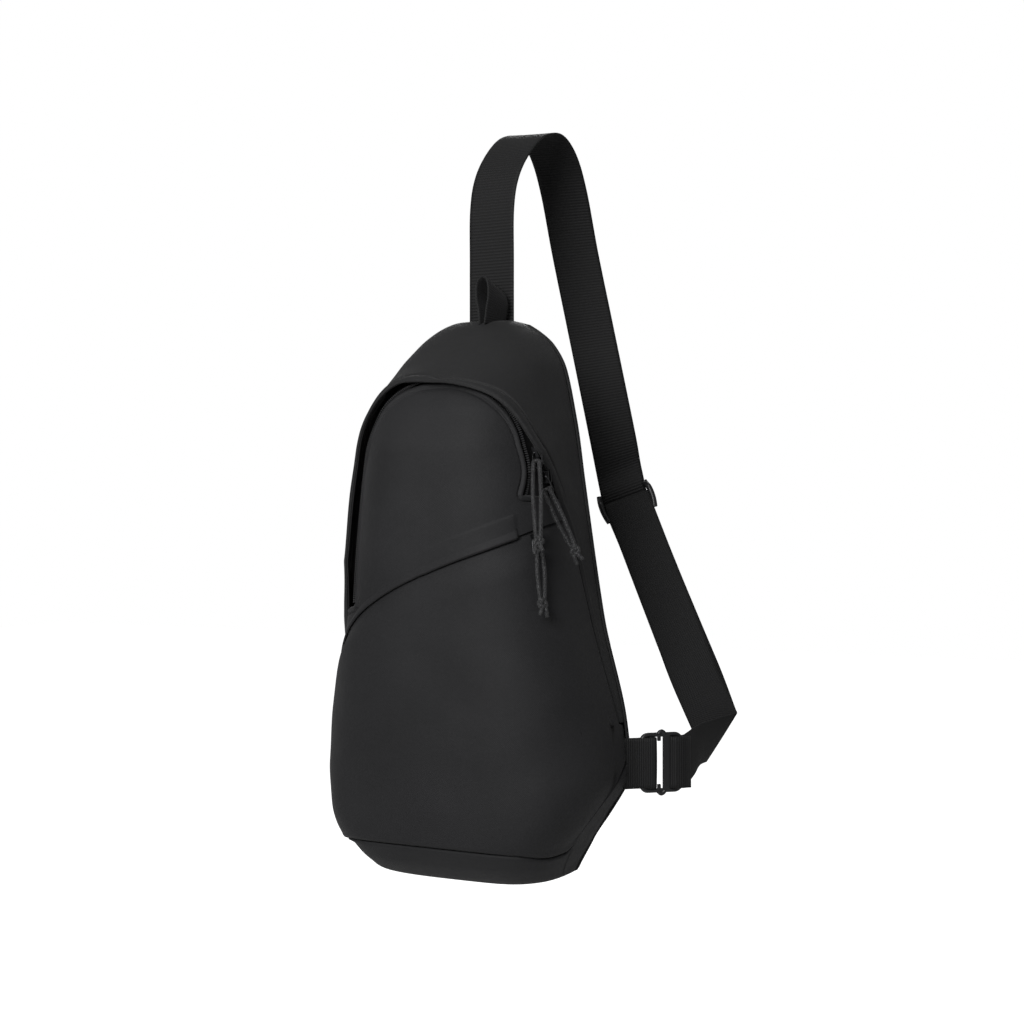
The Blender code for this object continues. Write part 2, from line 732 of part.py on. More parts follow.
def build_pocket_slider():
    stops = [shell(angle, blend_through(POCKET_LINE, angle) - 6.0, 1.0) for angle in POCKET_STOPS]
    centre, axis, radius = circle_through(*stops)
    if axis.z < 0:
        axis = -axis
    radial = (stops[0] - centre).normalized()
    frame = pivot("slider_c_axis", centre, ROOT, axis.to_track_quat("Z", "Y").to_matrix())
    tangent = radial.cross(axis)
    facing = Matrix((axis, radial.cross(axis), radial)).transposed()
    body = box("slider_c", stops[0] + radial * 1.2, (8, 9, 2.0), METAL_BLACK, ROOT, facing)
    for tag, at, size in (("foot_low", (-2.4, 0, 3.4), (1.2, 2, 3.2)),
                          ("foot_high", (2.4, 0, 3.4), (1.2, 2, 3.2)),
                          ("bridge", (0, 0, 5.0), (6.0, 2, 1.2))):
        helper = box(f"slider_c_{tag}", stops[0] + facing @ Vector(at), size, METAL_BLACK, ROOT,
                     facing, CUTTERS)
        union(body, helper)
        on_hinge(helper, frame)
    on_hinge(body, frame)
    top = stops[0] + radial * 3.3
    hold = pivot("pull_c_hinge", in_parent([top], frame)[0] / MM, frame)
    pull("c", top, shell(*KNOTS["c"]), tangent, hold)


# ---------------------------------------------------------------- strap and hardware
def adjuster_frame():
    """Axes of the strap at the adjuster: along the strap, across it and out of it."""
    along = Vector(LOWER_RUN).normalized()
    across = Vector(ADJUSTER_WIDTH).normalized()
    across = (across - along * across.dot(along)).normalized()
    out = along.cross(across)
    if out.y > 0:
        out = -out
    return along, across, out


def build_strap():
    along, across, out = adjuster_frame()
    start = Vector(ADJUSTER_AT)
    lower = [(start + along * d, across) for d in (-16, 30, 75, 120)]
    keys = STRAP_KEYS + [(*p, *w) for p, w in lower] + [STRAP_FOOT]
    ribbon("shoulder_strap", keys, WEBBING_WIDTH, WEBBING, 60, WEB_BLACK)
    leg = [(*(start + along * d + out * h), *across)
           for d, h in ((21, 7.0), (40, 6.0), (75, 4.5), (120, 4.0))]
    foot = Vector(STRAP_FOOT[:3]) + out * 4.0
    ribbon("strap_return_leg", leg + [(*foot, *STRAP_FOOT[3:])], WEBBING_WIDTH, WEBBING, 14,
           WEB_BLACK)


def build_adjuster():
    """Three bar adjuster in front of the strap, with the strap's sewn end round its middle bar."""
    along, across, out = adjuster_frame()
    slide = pivot("adjuster_slide", ADJUSTER_AT)
    facing = Matrix((across, out.cross(across), out)).transposed()
    centre = Vector(ADJUSTER_AT) + out * ADJUSTER_LIFT
    stand = pivot("adjuster_place", centre, ROOT, facing)
    outer = rounded_box_outline(*ADJUSTER_SIZE, 5.0)
    slots = []
    for hand in (-1, 1):
        middle = hand * (ADJUSTER_SLOT + ADJUSTER_BAR) / 2
        slots.append([(x, y + middle) for x, y in
                      rounded_box_outline(WEBBING_WIDTH + 1.4, ADJUSTER_SLOT, 1.2, 2)])
    plate = outline_plate("strap_adjuster", outer, 2.2, PLASTIC_BLACK, stand, slots)
    on_hinge(plate, slide)
    wrap = []
    for degrees in (205, 180, 150, 120, 90, 60, 30, 0):
        a = math.radians(degrees)
        spot = centre + (out * math.cos(a) - along * math.sin(a)) * WRAP_RADIUS
        wrap.append((*spot, *across))
    for ahead, lift in ((5, 3.0), (12, 2.9), (18, 2.7)):
        wrap.append((*(centre + along * ahead + out * lift), *across))
    on_hinge(ribbon("adjuster_loop", wrap, WEBBING_WIDTH - 0.4, 1.0, 24, WEB_BLACK), slide)


def ring_frame():
    reach = Vector((*TAB_WAY, 0)).normalized()
    return reach, Vector((0, 0, 1)), reach.cross(Vector((0, 0, 1)))


def bar_loop(centre, way, spread, far, steps=6):
    """Centre line of webbing wrapped round a bar: out, round it and back."""
    face = ring_frame()[2]
    turn = []
    for k in range(steps + 1):
        a = math.pi * (0.5 - k / steps)
        turn.append(centre + way * math.cos(a) * LOOP_RADIUS + face * math.sin(a) * LOOP_RADIUS)
    first, last = turn[0], turn[-1]
    return ([p + face * spread for p in far] + [first - way * 0.5] + turn[1:-1]
            + [last - way * 0.5] + [p - face * spread for p in reversed(far)])


def build_side_hardware():
    reach, up, face = ring_frame()
    seam = Vector(TAB_AT)
    bar = seam + reach * TAB_REACH
    path = bar_loop(bar, reach, 0.9, [seam + reach * 1.5, seam + reach * 6])
    ribbon("side_tab", [(*p, *up) for p in path], WEBBING_WIDTH, 1.2, 26, WEB_BLACK)
    hinge = pivot("ring_hinge", bar)
    facing = Matrix((reach, up, face)).transposed()
    middle = bar + reach * (RING_PLATE[0] / 2 - RING_BAR / 2)
    stand = pivot("ring_place", middle, ROOT, facing)
    room = (RING_PLATE[0] - 2 * RING_BAR - RING_MID_BAR) / 2
    slots = []
    for hand in (-1, 1):
        slot = room - hand * RING_MID_SHIFT
        shift = hand * (RING_PLATE[0] / 2 - RING_BAR - slot / 2)
        slots.append([(x + shift, y) for x, y in
                      rounded_box_outline(slot, WEBBING_WIDTH + 1.6, 1.0, 2)])
    plate = outline_plate("side_buckle", rounded_box_outline(*RING_PLATE, 3.5), RING_THICK,
                          PLASTIC_BLACK, stand, slots)
    on_hinge(plate, hinge)
    far_bar = bar + reach * (RING_PLATE[0] - RING_BAR)
    reach_back = -reach
    loop = bar_loop(far_bar, reach_back, 1.0, [])
    keys = [(*p, *up) for p in loop]
    front = [(*(far_bar + Vector(q[:3]) + face * 1.3), *q[3:]) for q in END_ROUTE]
    back = [(*(far_bar + Vector(q[:3]) - face * 1.3), *q[3:]) for q in END_ROUTE]
    ends = list(reversed(front)) + keys + back
    on_hinge(ribbon("strap_end", ends, WEBBING_WIDTH, 1.2, 40, WEB_BLACK), hinge)


def build_top():
    loop = Vector(GRAB_AT)
    hole = Vector(GRAB_FACING).normalized()
    side = Vector((-hole.y, hole.x, 0))
    keys = []
    for across, height in ((-1.6, 0), (-3.5, 9), (-6.8, 20), (-5, 28), (0, 31.5), (5, 28), (6.8, 20),
                           (3.5, 9), (1.6, 0)):
        keys.append((*(loop + side * across + Vector((0, 0, height))), *hole))
    ribbon("grab_loop", keys, GRAB_WIDTH, 1.4, 26, WEB_BLACK)


def main():
    build_back()
    build_hood()
    build_base()
    build_front()
    build_pocket_zip()
    build_main_zip()
    build_flap()
    build_sliders()
    build_pocket_slider()
    build_strap()
    build_adjuster()
    build_side_hardware()
    build_top()


main()
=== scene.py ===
"""Looks of the sling bag: cloth panels, webbing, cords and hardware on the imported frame."""
import bisect
import math

import bmesh
import bpy
import numpy
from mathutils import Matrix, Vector, noise

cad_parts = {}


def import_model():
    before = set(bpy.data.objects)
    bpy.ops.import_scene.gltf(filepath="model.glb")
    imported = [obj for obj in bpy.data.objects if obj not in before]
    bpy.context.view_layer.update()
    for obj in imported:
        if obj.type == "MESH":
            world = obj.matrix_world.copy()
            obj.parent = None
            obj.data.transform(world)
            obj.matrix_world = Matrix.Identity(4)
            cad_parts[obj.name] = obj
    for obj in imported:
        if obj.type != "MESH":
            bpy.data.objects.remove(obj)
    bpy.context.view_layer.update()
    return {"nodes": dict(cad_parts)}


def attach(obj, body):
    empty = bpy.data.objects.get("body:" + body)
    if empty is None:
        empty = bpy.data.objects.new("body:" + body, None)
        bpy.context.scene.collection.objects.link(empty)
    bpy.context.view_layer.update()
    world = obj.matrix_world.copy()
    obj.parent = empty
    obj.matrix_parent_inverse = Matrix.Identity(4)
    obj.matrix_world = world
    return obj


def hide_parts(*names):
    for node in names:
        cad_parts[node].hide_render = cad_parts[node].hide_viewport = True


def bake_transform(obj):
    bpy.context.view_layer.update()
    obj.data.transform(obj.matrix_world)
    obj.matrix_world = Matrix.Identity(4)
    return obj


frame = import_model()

MM = 0.001
CROWN = Vector((5.0, 78.0, 582.2))
DETAIL = 1.0


def count(n):
    return max(int(n * DETAIL), 4)


def world(point):
    """Bag millimetres to the row frame."""
    return (Vector(point) - CROWN) * MM


# ---------------------------------------------------------------- camera
VIEW_TURN = math.radians(27.0)
AIM = world((17 * math.cos(VIEW_TURN), 17 * math.sin(VIEW_TURN), 276.9))
RANGE = 1.25
camera_data = bpy.data.cameras.new("camera")
camera_data.lens = 56.67
camera_data.sensor_width = 36.0
camera_data.clip_end = 40.0
camera = bpy.data.objects.new("camera", camera_data)
back_off = Vector((math.sin(VIEW_TURN), -math.cos(VIEW_TURN), 0.0))
camera.location = AIM + back_off * RANGE
camera.rotation_euler = (math.radians(90), 0, VIEW_TURN)
bpy.context.scene.collection.objects.link(camera)
bpy.context.scene.camera = camera

# ---------------------------------------------------------------- form of the bag
BAG_HEIGHT = 426.0
HALF_WIDTH = [(0, 60), (3, 76), (6, 84), (12, 87.5), (20, 92), (30, 97.5), (55, 109),
              (85, 116.5), (120, 113.5), (200, 97.5), (300, 82), (345, 75.5), (385, 65),
              (405, 53), (416.5, 39), (423, 25), (426, 1)]
BULGE = [(0, 38), (3, 55), (10, 72), (20, 83), (40, 92), (80, 96), (160, 101), (250, 104),
         (320, 102), (350, 92), (374, 75), (396, 54), (412, 36), (422, 19), (426, 2)]
ARCH_CENTRE = Vector((3.0, -62.0, 300.0))
ARCH_RADIUS = 72.0
LEG_BOTTOM = (-71.0, 208.0)
POCKET_LINE = [(-127, 272), (-96, 266), (-72.6, 259), (-44.7, 249.3), (-14.3, 238.4),
               (18.2, 224.8), (47.8, 208), (68, 193.5), (84, 178), (100, 163), (127, 152)]
SIDE_SEAM = [(120, 1.5), (149, 3), (186, 4), (222, 6), (266, 10), (300, 17)]
LEFT_SEAM = [(120, 178), (168, 164), (212, 149), (250, 148)]
HOOD_EDGE = [(1.5, 121), (3, 149), (4, 186), (6, 222), (10, 266), (20, 299), (33, 323),
             (46, 344), (59, 356), (78, 364), (97, 368.5), (112, 366.5), (128, 352), (143, 328),
             (148, 290), (148, 250), (148, 212), (164, 168), (178, 124)]
HOOD_BACK = [(0, 121), (0, 149), (0, 186), (0, 222), (0, 266), (0, 306), (0, 345), (0, 382),
             (0, 408), (0, 423), (90, 425.8), (180, 421), (180, 402), (180, 360), (180, 312),
             (180, 262), (180, 216), (180, 168), (180, 124)]
RIM_FIRST = 4.5 / 18
RIM_LAST = 16.6 / 18
RIM_LIFT = 8.0
# Swellings of the hood behind its front edge: height, place round the edge, reach along it.
CHEEKS = [(5.5, 14.1, 0.85), (-2.6, 12.1, 0.55), (8.0, 16.7, 0.75)]
BASE_CUT = 11.5
SIDE_CUT = 3.0


def make_curve(points):
    """Monotone smooth function through (x, value) pairs."""
    xs = [p[0] for p in points]
    steps = [(b[1] - a[1]) / (b[0] - a[0]) for a, b in zip(points, points[1:])]
    slopes = [steps[0]]
    for before, after in zip(steps, steps[1:]):
        slopes.append(0.0 if before * after <= 0 else 2 * before * after / (before + after))
    slopes.append(0.0)

    def value(x):
        x = min(max(x, xs[0]), xs[-1])
        cell = min(max(bisect.bisect_right(xs, x) - 1, 0), len(xs) - 2)
        (x0, v0), (x1, v1) = points[cell], points[cell + 1]
        h = x1 - x0
        t = (x - x0) / h
        return ((2 * t**3 - 3 * t**2 + 1) * v0 + (t**3 - 2 * t**2 + t) * h * slopes[cell]
                + (3 * t**2 - 2 * t**3) * v1 + (t**3 - t**2) * h * slopes[cell + 1])
    return value


half_width = make_curve(HALF_WIDTH)
bulge_at = make_curve(BULGE)
pocket_curve = make_curve(POCKET_LINE)
side_seam = make_curve(SIDE_SEAM)
left_seam = make_curve(LEFT_SEAM)


def spline(keys, t):
    spans = len(keys) - 1
    place = min(max(t, 0.0), 1.0) * spans
    cell = min(int(place), spans - 1)
    f = place - cell
    p1, p2 = Vector(keys[cell]), Vector(keys[cell + 1])
    p0 = Vector(keys[cell - 1]) if cell > 0 else 2 * p1 - p2
    p3 = Vector(keys[cell + 2]) if cell + 2 <= spans else 2 * p2 - p1
    return 0.5 * (2 * p1 + (p2 - p0) * f + (2 * p0 - 5 * p1 + 4 * p2 - p3) * f**2
                  + (3 * p1 - p0 - 3 * p2 + p3) * f**3)


def smooth(x, low=0.0, high=1.0):
    t = min(max((x - low) / (high - low), 0.0), 1.0)
    return t * t * (3 - 2 * t)


def hump(x, middle, width):
    """Bell of height 1 round middle."""
    return math.exp(-((x - middle) / width)**2)


def power_at(z):
    return 2.9 + 1.5 * hump(z, 35, 35)


def half_right(z):
    """The right side is cut back towards the base and, less, along the zip."""
    at_base = 1 - smooth(z, 30, 85)
    along_zip = smooth(z, 110, 200) * (1 - smooth(z, 350, 412))
    return half_width(z) - BASE_CUT * at_base - SIDE_CUT * along_zip


def shell_point(angle, z):
    n = power_at(z)
    a = math.radians(min(max(angle, 0.0), 180.0))
    c = math.cos(a)
    width = half_right(z) if c > 0 else half_width(z)
    x = width * math.copysign(abs(c)**(2 / n), c)
    return Vector((x, -bulge_at(z) * max(math.sin(a), 0.0)**(2 / n), z))


def shell(angle, z, lift=0.0):
    here = shell_point(angle, z)
    if not lift:
        return here
    step_a = 1.0 if angle < 90 else -1.0
    step_z = 1.5 if z < BAG_HEIGHT / 2 else -1.5
    across = (shell_point(angle + step_a, z) - here) * step_a
    up = (shell_point(angle, z + step_z) - here) * step_z
    normal = up.cross(across)
    if normal.length < 1e-9:
        return here + Vector((0, -lift, 0))
    normal.normalize()
    if normal.dot(here - Vector((0, -40, min(max(z, 60), 350)))) < 0:
        normal = -normal
    return here + normal * lift


def angle_at(x, z):
    share = min(abs(x) / half_width(z), 0.999)
    a = math.degrees(math.acos(share**(power_at(z) / 2)))
    return a if x >= 0 else 180 - a


# Developed width: distance round a middle section against the angle.
ARC_LENGTHS = [0.0]
for k in range(180):
    ARC_LENGTHS.append(ARC_LENGTHS[-1] + (shell_point(k + 1, 250) - shell_point(k, 250)).length)
ARC_MIDDLE = ARC_LENGTHS[90]


def angle_to_u(angle):
    cell = min(max(int(angle), 0), 179)
    f = angle - cell
    return ARC_LENGTHS[cell] + (ARC_LENGTHS[cell + 1] - ARC_LENGTHS[cell]) * f - ARC_MIDDLE


def u_to_angle(u):
    u = min(max(u + ARC_MIDDLE, 0.0), ARC_LENGTHS[-1])
    cell = min(max(bisect.bisect_right(ARC_LENGTHS, u) - 1, 0), 179)
    span = ARC_LENGTHS[cell + 1] - ARC_LENGTHS[cell]
    return cell + (u - ARC_LENGTHS[cell]) / span


def pocket_line(angle):
    """Height of the slanted pocket seam, which runs straight across the cloth."""
    return pocket_curve(angle_to_u(angle))


def wobble(point, size, amount, seed=0.0):
    """Smooth random height, the same for the same place."""
    return noise.noise(Vector(point) / size + Vector((seed, seed * 1.7, seed * 0.6))) * amount


# ---------------------------------------------------------------- mesh helpers
def link(name, data, material):
    data.materials.append(material)
    made = bpy.data.objects.new(name, data)
    bpy.context.scene.collection.objects.link(made)
    return made


def link_bmesh(name, bm, material):
    data = bpy.data.meshes.new(name)
    bm.to_mesh(data)
    bm.free()
    return link(name, data, material)


def grid_piece(name, place, rows, cols, material, thickness=0.0, uv=None, closed=False):
    """Grid of place(s, t) in bag mm; uv(s, t) gives cloth millimetres, and without uv no UVs are set.
    """
    bm = bmesh.new()
    layer = bm.loops.layers.uv.new("cloth")
    count = cols if closed else cols + 1
    points = [[place(i / rows, j / cols) for j in range(count)] for i in range(rows + 1)]
    verts = [[bm.verts.new(world(p)) for p in row] for row in points]
    for i in range(rows):
        for j in range(cols):
            k = (j + 1) % count
            face = bm.faces.new((verts[i][j], verts[i][k], verts[i + 1][k], verts[i + 1][j]))
            face.smooth = True
            if uv:
                corners = ((i, j), (i, j + 1), (i + 1, j + 1), (i + 1, j))
                for loop, (a, b) in zip(face.loops, corners):
                    loop[layer].uv = Vector(uv(a / rows, b / cols)) * MM
    bm.faces.ensure_lookup_table()
    face = bm.faces[len(bm.faces) // 2]
    centre = face.calc_center_median()
    face.normal_update()
    outward = centre - world((0, -40, 200))
    if face.normal.dot(Vector((outward.x, outward.y, 0))) < 0:
        bmesh.ops.reverse_faces(bm, faces=bm.faces)
    made = link_bmesh(name, bm, material)
    if thickness:
        thicken(made, thickness)
    return made


def thicken(made, thickness, offset=-1.0):
    shell_mod = made.modifiers.new("thickness", "SOLIDIFY")
    shell_mod.thickness = thickness * MM
    shell_mod.offset = offset


def curve_piece(name, points, diameter, material, cyclic=False, sides=6):
    data = bpy.data.curves.new(name, "CURVE")
    data.dimensions = "3D"
    data.bevel_depth = diameter / 2 * MM
    data.bevel_resolution = sides
    data.use_fill_caps = not cyclic
    line = data.splines.new("POLY")
    line.points.add(len(points) - 1)
    for slot, point in zip(line.points, points):
        slot.co = (*world(point), 1.0)
    line.use_cyclic_u = cyclic
    line.use_smooth = True
    return link(name, data, material)


def join(name, parts):
    """One mesh object from several, keeping every material."""
    bpy.context.view_layer.update()
    graph = bpy.context.evaluated_depsgraph_get()
    bm = bmesh.new()
    slots = []
    for part in parts:
        data = bpy.data.meshes.new_from_object(part.evaluated_get(graph))
        data.transform(part.matrix_world)
        index = []
        for material in data.materials:
            if material not in slots:
                slots.append(material)
            index.append(slots.index(material))
        before = len(bm.faces)
        bm.from_mesh(data)
        bm.faces.ensure_lookup_table()
        for face in bm.faces[before:]:
            face.material_index = index[face.material_index] if index else 0
        bpy.data.meshes.remove(data)
    data = bpy.data.meshes.new(name)
    bm.to_mesh(data)
    bm.free()
    for part in parts:
        bpy.data.objects.remove(part, do_unlink=True)
    for material in slots:
        data.materials.append(material)
    made = bpy.data.objects.new(name, data)
    bpy.context.scene.collection.objects.link(made)
    return made


# ---------------------------------------------------------------- materials
def fill(tree, node, inputs):
    """Set a node's inputs: another node's output is linked, anything else is a plain value."""
    for slot, given in inputs.items():
        if isinstance(given, bpy.types.NodeSocket):
            tree.links.new(given, node.inputs[slot])
        else:
            node.inputs[slot].default_value = given


def add_node(tree, kind, inputs, operation=None, output=0):
    """Make a node with these inputs and hand back one of its outputs."""
    node = tree.nodes.new("ShaderNode" + kind)
    if operation:
        node.operation = operation
    fill(tree, node, inputs)
    return node.outputs[output]


def math_node(tree, operation, *inputs):
    return add_node(tree, "Math", dict(enumerate(inputs)), operation)


def node_material(name):
    made = bpy.data.materials.new(name)
    made.use_nodes = True
    return made, made.node_tree, made.node_tree.nodes["Principled BSDF"]


def cloth_map(tree):
    """U and V of the cloth's own map, in metres."""
    coords = tree.nodes.new("ShaderNodeUVMap")
    coords.uv_map = "cloth"
    split = tree.nodes.new("ShaderNodeSeparateXYZ")
    tree.links.new(coords.outputs["UV"], split.inputs[0])
    return split.outputs["X"], split.outputs["Y"]


def wave(tree, along, length):
    """A sine along one direction of the cloth, one turn to each length in mm."""
    return math_node(tree, "SINE",
                     math_node(tree, "MULTIPLY", along, 2 * math.pi / (length * MM)))


def texture(tree, kind, inputs, output):
    """A texture that sits on the object itself."""
    place = add_node(tree, "TexCoord", {}, output="Object")
    return add_node(tree, kind, {"Vector": place, **inputs}, output=output)


def clouds(tree, scale, detail):
    return texture(tree, "TexNoise", {"Scale": scale, "Detail": detail}, "Fac")


def bump(tree, relief, depth, strength, **under):
    """Relief of this depth in mm, on top of another bump if Normal is given."""
    return add_node(tree, "Bump", {"Height": relief, "Distance": depth * MM,
                                   "Strength": strength, **under})


def tint(tree, colour, shade):
    return add_node(tree, "VectorMath", {0: colour, "Scale": shade}, "SCALE")


def cloth_material(name, colour, rough, pitch=0.62, sheen=0.06, height=0.09, mottle=0.26):
    """Tight plain weave: warp and weft as two crossed waves, mottled a little."""
    made, tree, shader = node_material(name)
    warp, weft = [wave(tree, side, 2 * pitch) for side in cloth_map(tree)]
    cloud = clouds(tree, 16.0, 4.0)
    slub = clouds(tree, 900.0, 2.0)
    relief = bump(tree, cloud, 3.0, 0.6)
    weave = math_node(tree, "MULTIPLY", warp, weft)
    shade = math_node(tree, "MULTIPLY_ADD", cloud, 2 * mottle, 1.0 - mottle)
    grain = math_node(tree, "MULTIPLY_ADD", slub, 0.5, 0.75)
    both = math_node(tree, "MULTIPLY", shade, grain)
    fill(tree, shader, {"Base Color": tint(tree, colour, both),
                        "Normal": bump(tree, weave, height, 0.8, Normal=relief),
                        "Roughness": rough, "Specular IOR Level": 0.25,
                        "Sheen Weight": sheen, "Sheen Roughness": 0.45})
    return made


def webbing_material(name, colour, rough=0.62, pitch=2.4, lattice=0.25, thread=1.7, height=0.22):
    """Webbing: ribs across the strap, crossed by threads as a lattice; the colour follows the ribs,
    with painted shade in the grooves and lighter crests.
    """
    made, tree, shader = node_material(name)
    across, along = cloth_map(tree)
    rib = wave(tree, along, pitch)
    crossed = math_node(tree, "MULTIPLY", rib, wave(tree, across, thread))
    ribs = math_node(tree, "MULTIPLY", rib, 1.0 - lattice)
    mixed = math_node(tree, "MULTIPLY_ADD", crossed, lattice, ribs)
    # Painted shade: the colour follows the ribs' relief, darker in the grooves between them and lighter
    # on their crests.
    shade = math_node(tree, "MULTIPLY_ADD", mixed, 0.34, 0.9)
    fill(tree, shader, {"Base Color": tint(tree, colour, shade),
                        "Normal": bump(tree, mixed, height, 0.8), "Roughness": rough,
                        "Specular IOR Level": 0.25, "Sheen Weight": 0.04})
    return made


def cord_material(name, colour):
    """Braided cord: painted shade darkens the small hollows between the threads and painted highlight
    lightens the threads.
    """
    made, tree, shader = node_material(name)
    weave = texture(tree, "TexVoronoi", {"Scale": 900.0}, "Distance")
    # Painted shade and highlight: the braid's relief also sets the colour, dark in its hollows and
    # light on its threads.
    shade = math_node(tree, "MULTIPLY_ADD", weave, 2.4, 0.05)
    fill(tree, shader, {"Base Color": tint(tree, colour, shade),
                        "Normal": bump(tree, weave, 0.5, 1.0),
                        "Roughness": 0.55, "Sheen Weight": 0.1})
    return made


def plain_material(name, colour, rough, metallic=0.0, specular=0.5):
    """Smooth material whose roughness varies a little."""
    made, tree, shader = node_material(name)
    spread = math_node(tree, "MULTIPLY_ADD", clouds(tree, 350.0, 4.0), 0.16, rough - 0.08)
    fill(tree, shader, {"Base Color": (*colour, 1.0), "Metallic": metallic,
                        "Roughness": spread, "Specular IOR Level": specular})
    return made


CLOTH = cloth_material("cloth", (0.0185, 0.0185, 0.0198), 0.62)
HOOD_CLOTH = cloth_material("hood_cloth", (0.0185, 0.0185, 0.0192), 0.62)
HEM = cloth_material("hem", (0.0165, 0.0165, 0.0170), 0.66)
LINING = cloth_material("lining", (0.030, 0.030, 0.031), 0.7, sheen=0.1)
# Painted shade: the zip tapes and the zip's bed are much darker than the cloth, for the shade where
# they sit sunk under it.
SHADOW_CLOTH = cloth_material("zip_tape", (0.008, 0.008, 0.0085), 0.75, sheen=0.05)
WEB = webbing_material("webbing", (0.0102, 0.0102, 0.0106))
LOWER_WEB = webbing_material("lower_webbing", (0.0100, 0.0100, 0.0104), pitch=1.9, lattice=0.9)
TAB_WEB = webbing_material("tab_webbing", (0.0105, 0.0105, 0.0110), pitch=1.7, lattice=0.2)
GRAB_WEB = webbing_material("grab_webbing", (0.014, 0.014, 0.0145), pitch=1.7, lattice=0.5)
CORD = cord_material("cord", (0.0145, 0.0145, 0.0155))
PLASTIC = plain_material("acetal", (0.016, 0.016, 0.017), 0.34)
TEETH = plain_material("teeth", (0.055, 0.055, 0.057), 0.38)
METAL = plain_material("wire", (0.045, 0.045, 0.047), 0.34, 0.9)
SLIDER_METAL = plain_material("slider_metal", (0.030, 0.030, 0.032), 0.36, 0.85)

# ---------------------------------------------------------------- the zip's plane
U_AXIS = Vector((1, 0.075, 0)).normalized()
N_AXIS = Vector((0.075, -1, -0.155)).normalized()
V_AXIS = N_AXIS.cross(U_AXIS)


def zip_point(radius, turn, out):
    flat = U_AXIS * math.cos(math.radians(turn)) + V_AXIS * math.sin(math.radians(turn))
    return ARCH_CENTRE + flat * radius + N_AXIS * out


# ---------------------------------------------------------------- cords first
CORD_WIDTH = 3.0
RING = (7.0, 13.0, 1.2)
POCKET_STOPS = (37.0, 52.0, 68.0)


def circle_through(a, b, c):
    ab = b - a
    ac = c - a
    axis = ab.cross(ac)
    centre = a + (axis.cross(ab) * ac.length_squared + ac.cross(axis) * ab.length_squared) / (
        2 * axis.length_squared)
    return centre, axis.normalized()


def knot_cords(tag, centre, down, side, out):
    """Overhand knot of the two strands, tightened, with two short tails."""
    parts = []
    for number, phase in ((0, 0.0), (1, math.pi / 3)):
        loop = []
        for k in range(49):
            a = 2 * math.pi * k / 48
            r = 2.1 + 1.1 * math.cos(3 * a + phase)
            x = r * math.cos(2 * a + phase)
            y = r * math.sin(2 * a + phase)
            loop.append(centre + side * x * 0.95 + down * y * 1.15
                        + out * 1.25 * math.sin(3 * a + phase))
        parts.append(curve_piece(f"knot_part_{tag}_{number}", loop[:-1], 2.7, CORD, True, 4))
    for hand, length, spread in ((-1, 9.5, 2.6), (1, 8.0, 3.2)):
        tail = [centre + side * hand * 1.0 + down * 1.0,
                centre + side * hand * 1.9 + down * 4.5 + out * 0.8,
                centre + side * hand * spread + down * length + out * 0.3]
        keys = [tuple(p) for p in tail]
        route = [spline(keys, k / 10) for k in range(11)]
        parts.append(curve_piece(f"tail_part_{tag}_{hand + 1}", route, 2.9, CORD, False, 4))
    return parts


def build_pull(tag, top, knot, across):
    """Wire ring, two strands and knot of one pull, hanging from top."""
    down = (knot - top).normalized()
    side = (across - down * across.dot(down)).normalized()
    out = down.cross(side)
    if out.y > 0:
        out = -out
    body = f"pull_{tag}"
    start = top + down * (RING[1] - RING[2] / 2 - CORD_WIDTH / 2 - 1.5)
    length = (knot - start).length
    for number, hand in ((1, -1), (2, 1)):
        keys = [start + side * hand * 1.65 + out * 2.4,
                start + side * hand * 2.3 + out * 2.5 + down * 3.0,
                start + side * hand * 3.0 + out * 2.0 + down * length * 0.4,
                start + side * hand * 2.3 + out * 0.9 + down * length * 0.75,
                start + side * hand * 1.5 + down * (length - 1.5)]
        keys = [tuple(k) for k in keys]
        route = [spline(keys, k / 24) for k in range(25)]
        strand = curve_piece(f"pull_{tag}_strand_{number}_cord", route, CORD_WIDTH, CORD)
        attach(strand, body)
        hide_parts(f"pull_{tag}_strand_{number}")
    hitch_at = start + out * 1.2
    hitch = [hitch_at + side * 2.4 * math.cos(a) + out * 2.2 * math.sin(a) - down * 0.4
             for a in [math.pi * k / 12 for k in range(-3, 16)]]
    parts = knot_cords(tag, knot, down, side, out)
    parts.append(curve_piece(f"hitch_part_{tag}", hitch, 2.8, CORD, False, 4))
    cluster = join(f"pull_{tag}_knot_cord", parts)
    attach(cluster, body)
    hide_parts(f"pull_{tag}_knot")
    ring = []
    half = RING[0] / 2
    for k in range(40):
        a = 2 * math.pi * k / 40
        x = math.cos(a)
        y = math.sin(a)
        bend = (abs(x)**5 + abs(y)**5)**(-1 / 5)
        ring.append(top + side * x * bend * half + down * (RING[1] / 2 * (1 + y * bend)))
    wire = curve_piece(f"pull_{tag}_wire", ring, RING[2], METAL, True)
    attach(wire, body)
    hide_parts(f"pull_{tag}_ring")


build_pull("a", zip_point(ARCH_RADIUS, 17.0, 4.15), shell(42.5, 254.0, 22.0), U_AXIS)
build_pull("b", zip_point(ARCH_RADIUS, 2.0, 4.15), shell(20.0, 247.0, 14.0), U_AXIS)
stops = [shell(angle, pocket_line(angle) - 6.0, 1.0) for angle in POCKET_STOPS]
pocket_centre, pocket_axis = circle_through(*stops)
if pocket_axis.z < 0:
    pocket_axis = -pocket_axis
pocket_radial = (stops[0] - pocket_centre).normalized()
build_pull("c", stops[0] + pocket_radial * 3.3, shell(40.0, 211.0, 10.0),
           pocket_radial.cross(pocket_axis))

# ---------------------------------------------------------------- hood
def rim_lift(t):
    inside = min(t - RIM_FIRST, RIM_LAST - t)
    return RIM_LIFT * min(max(inside * 14, 0.0), 1.0)


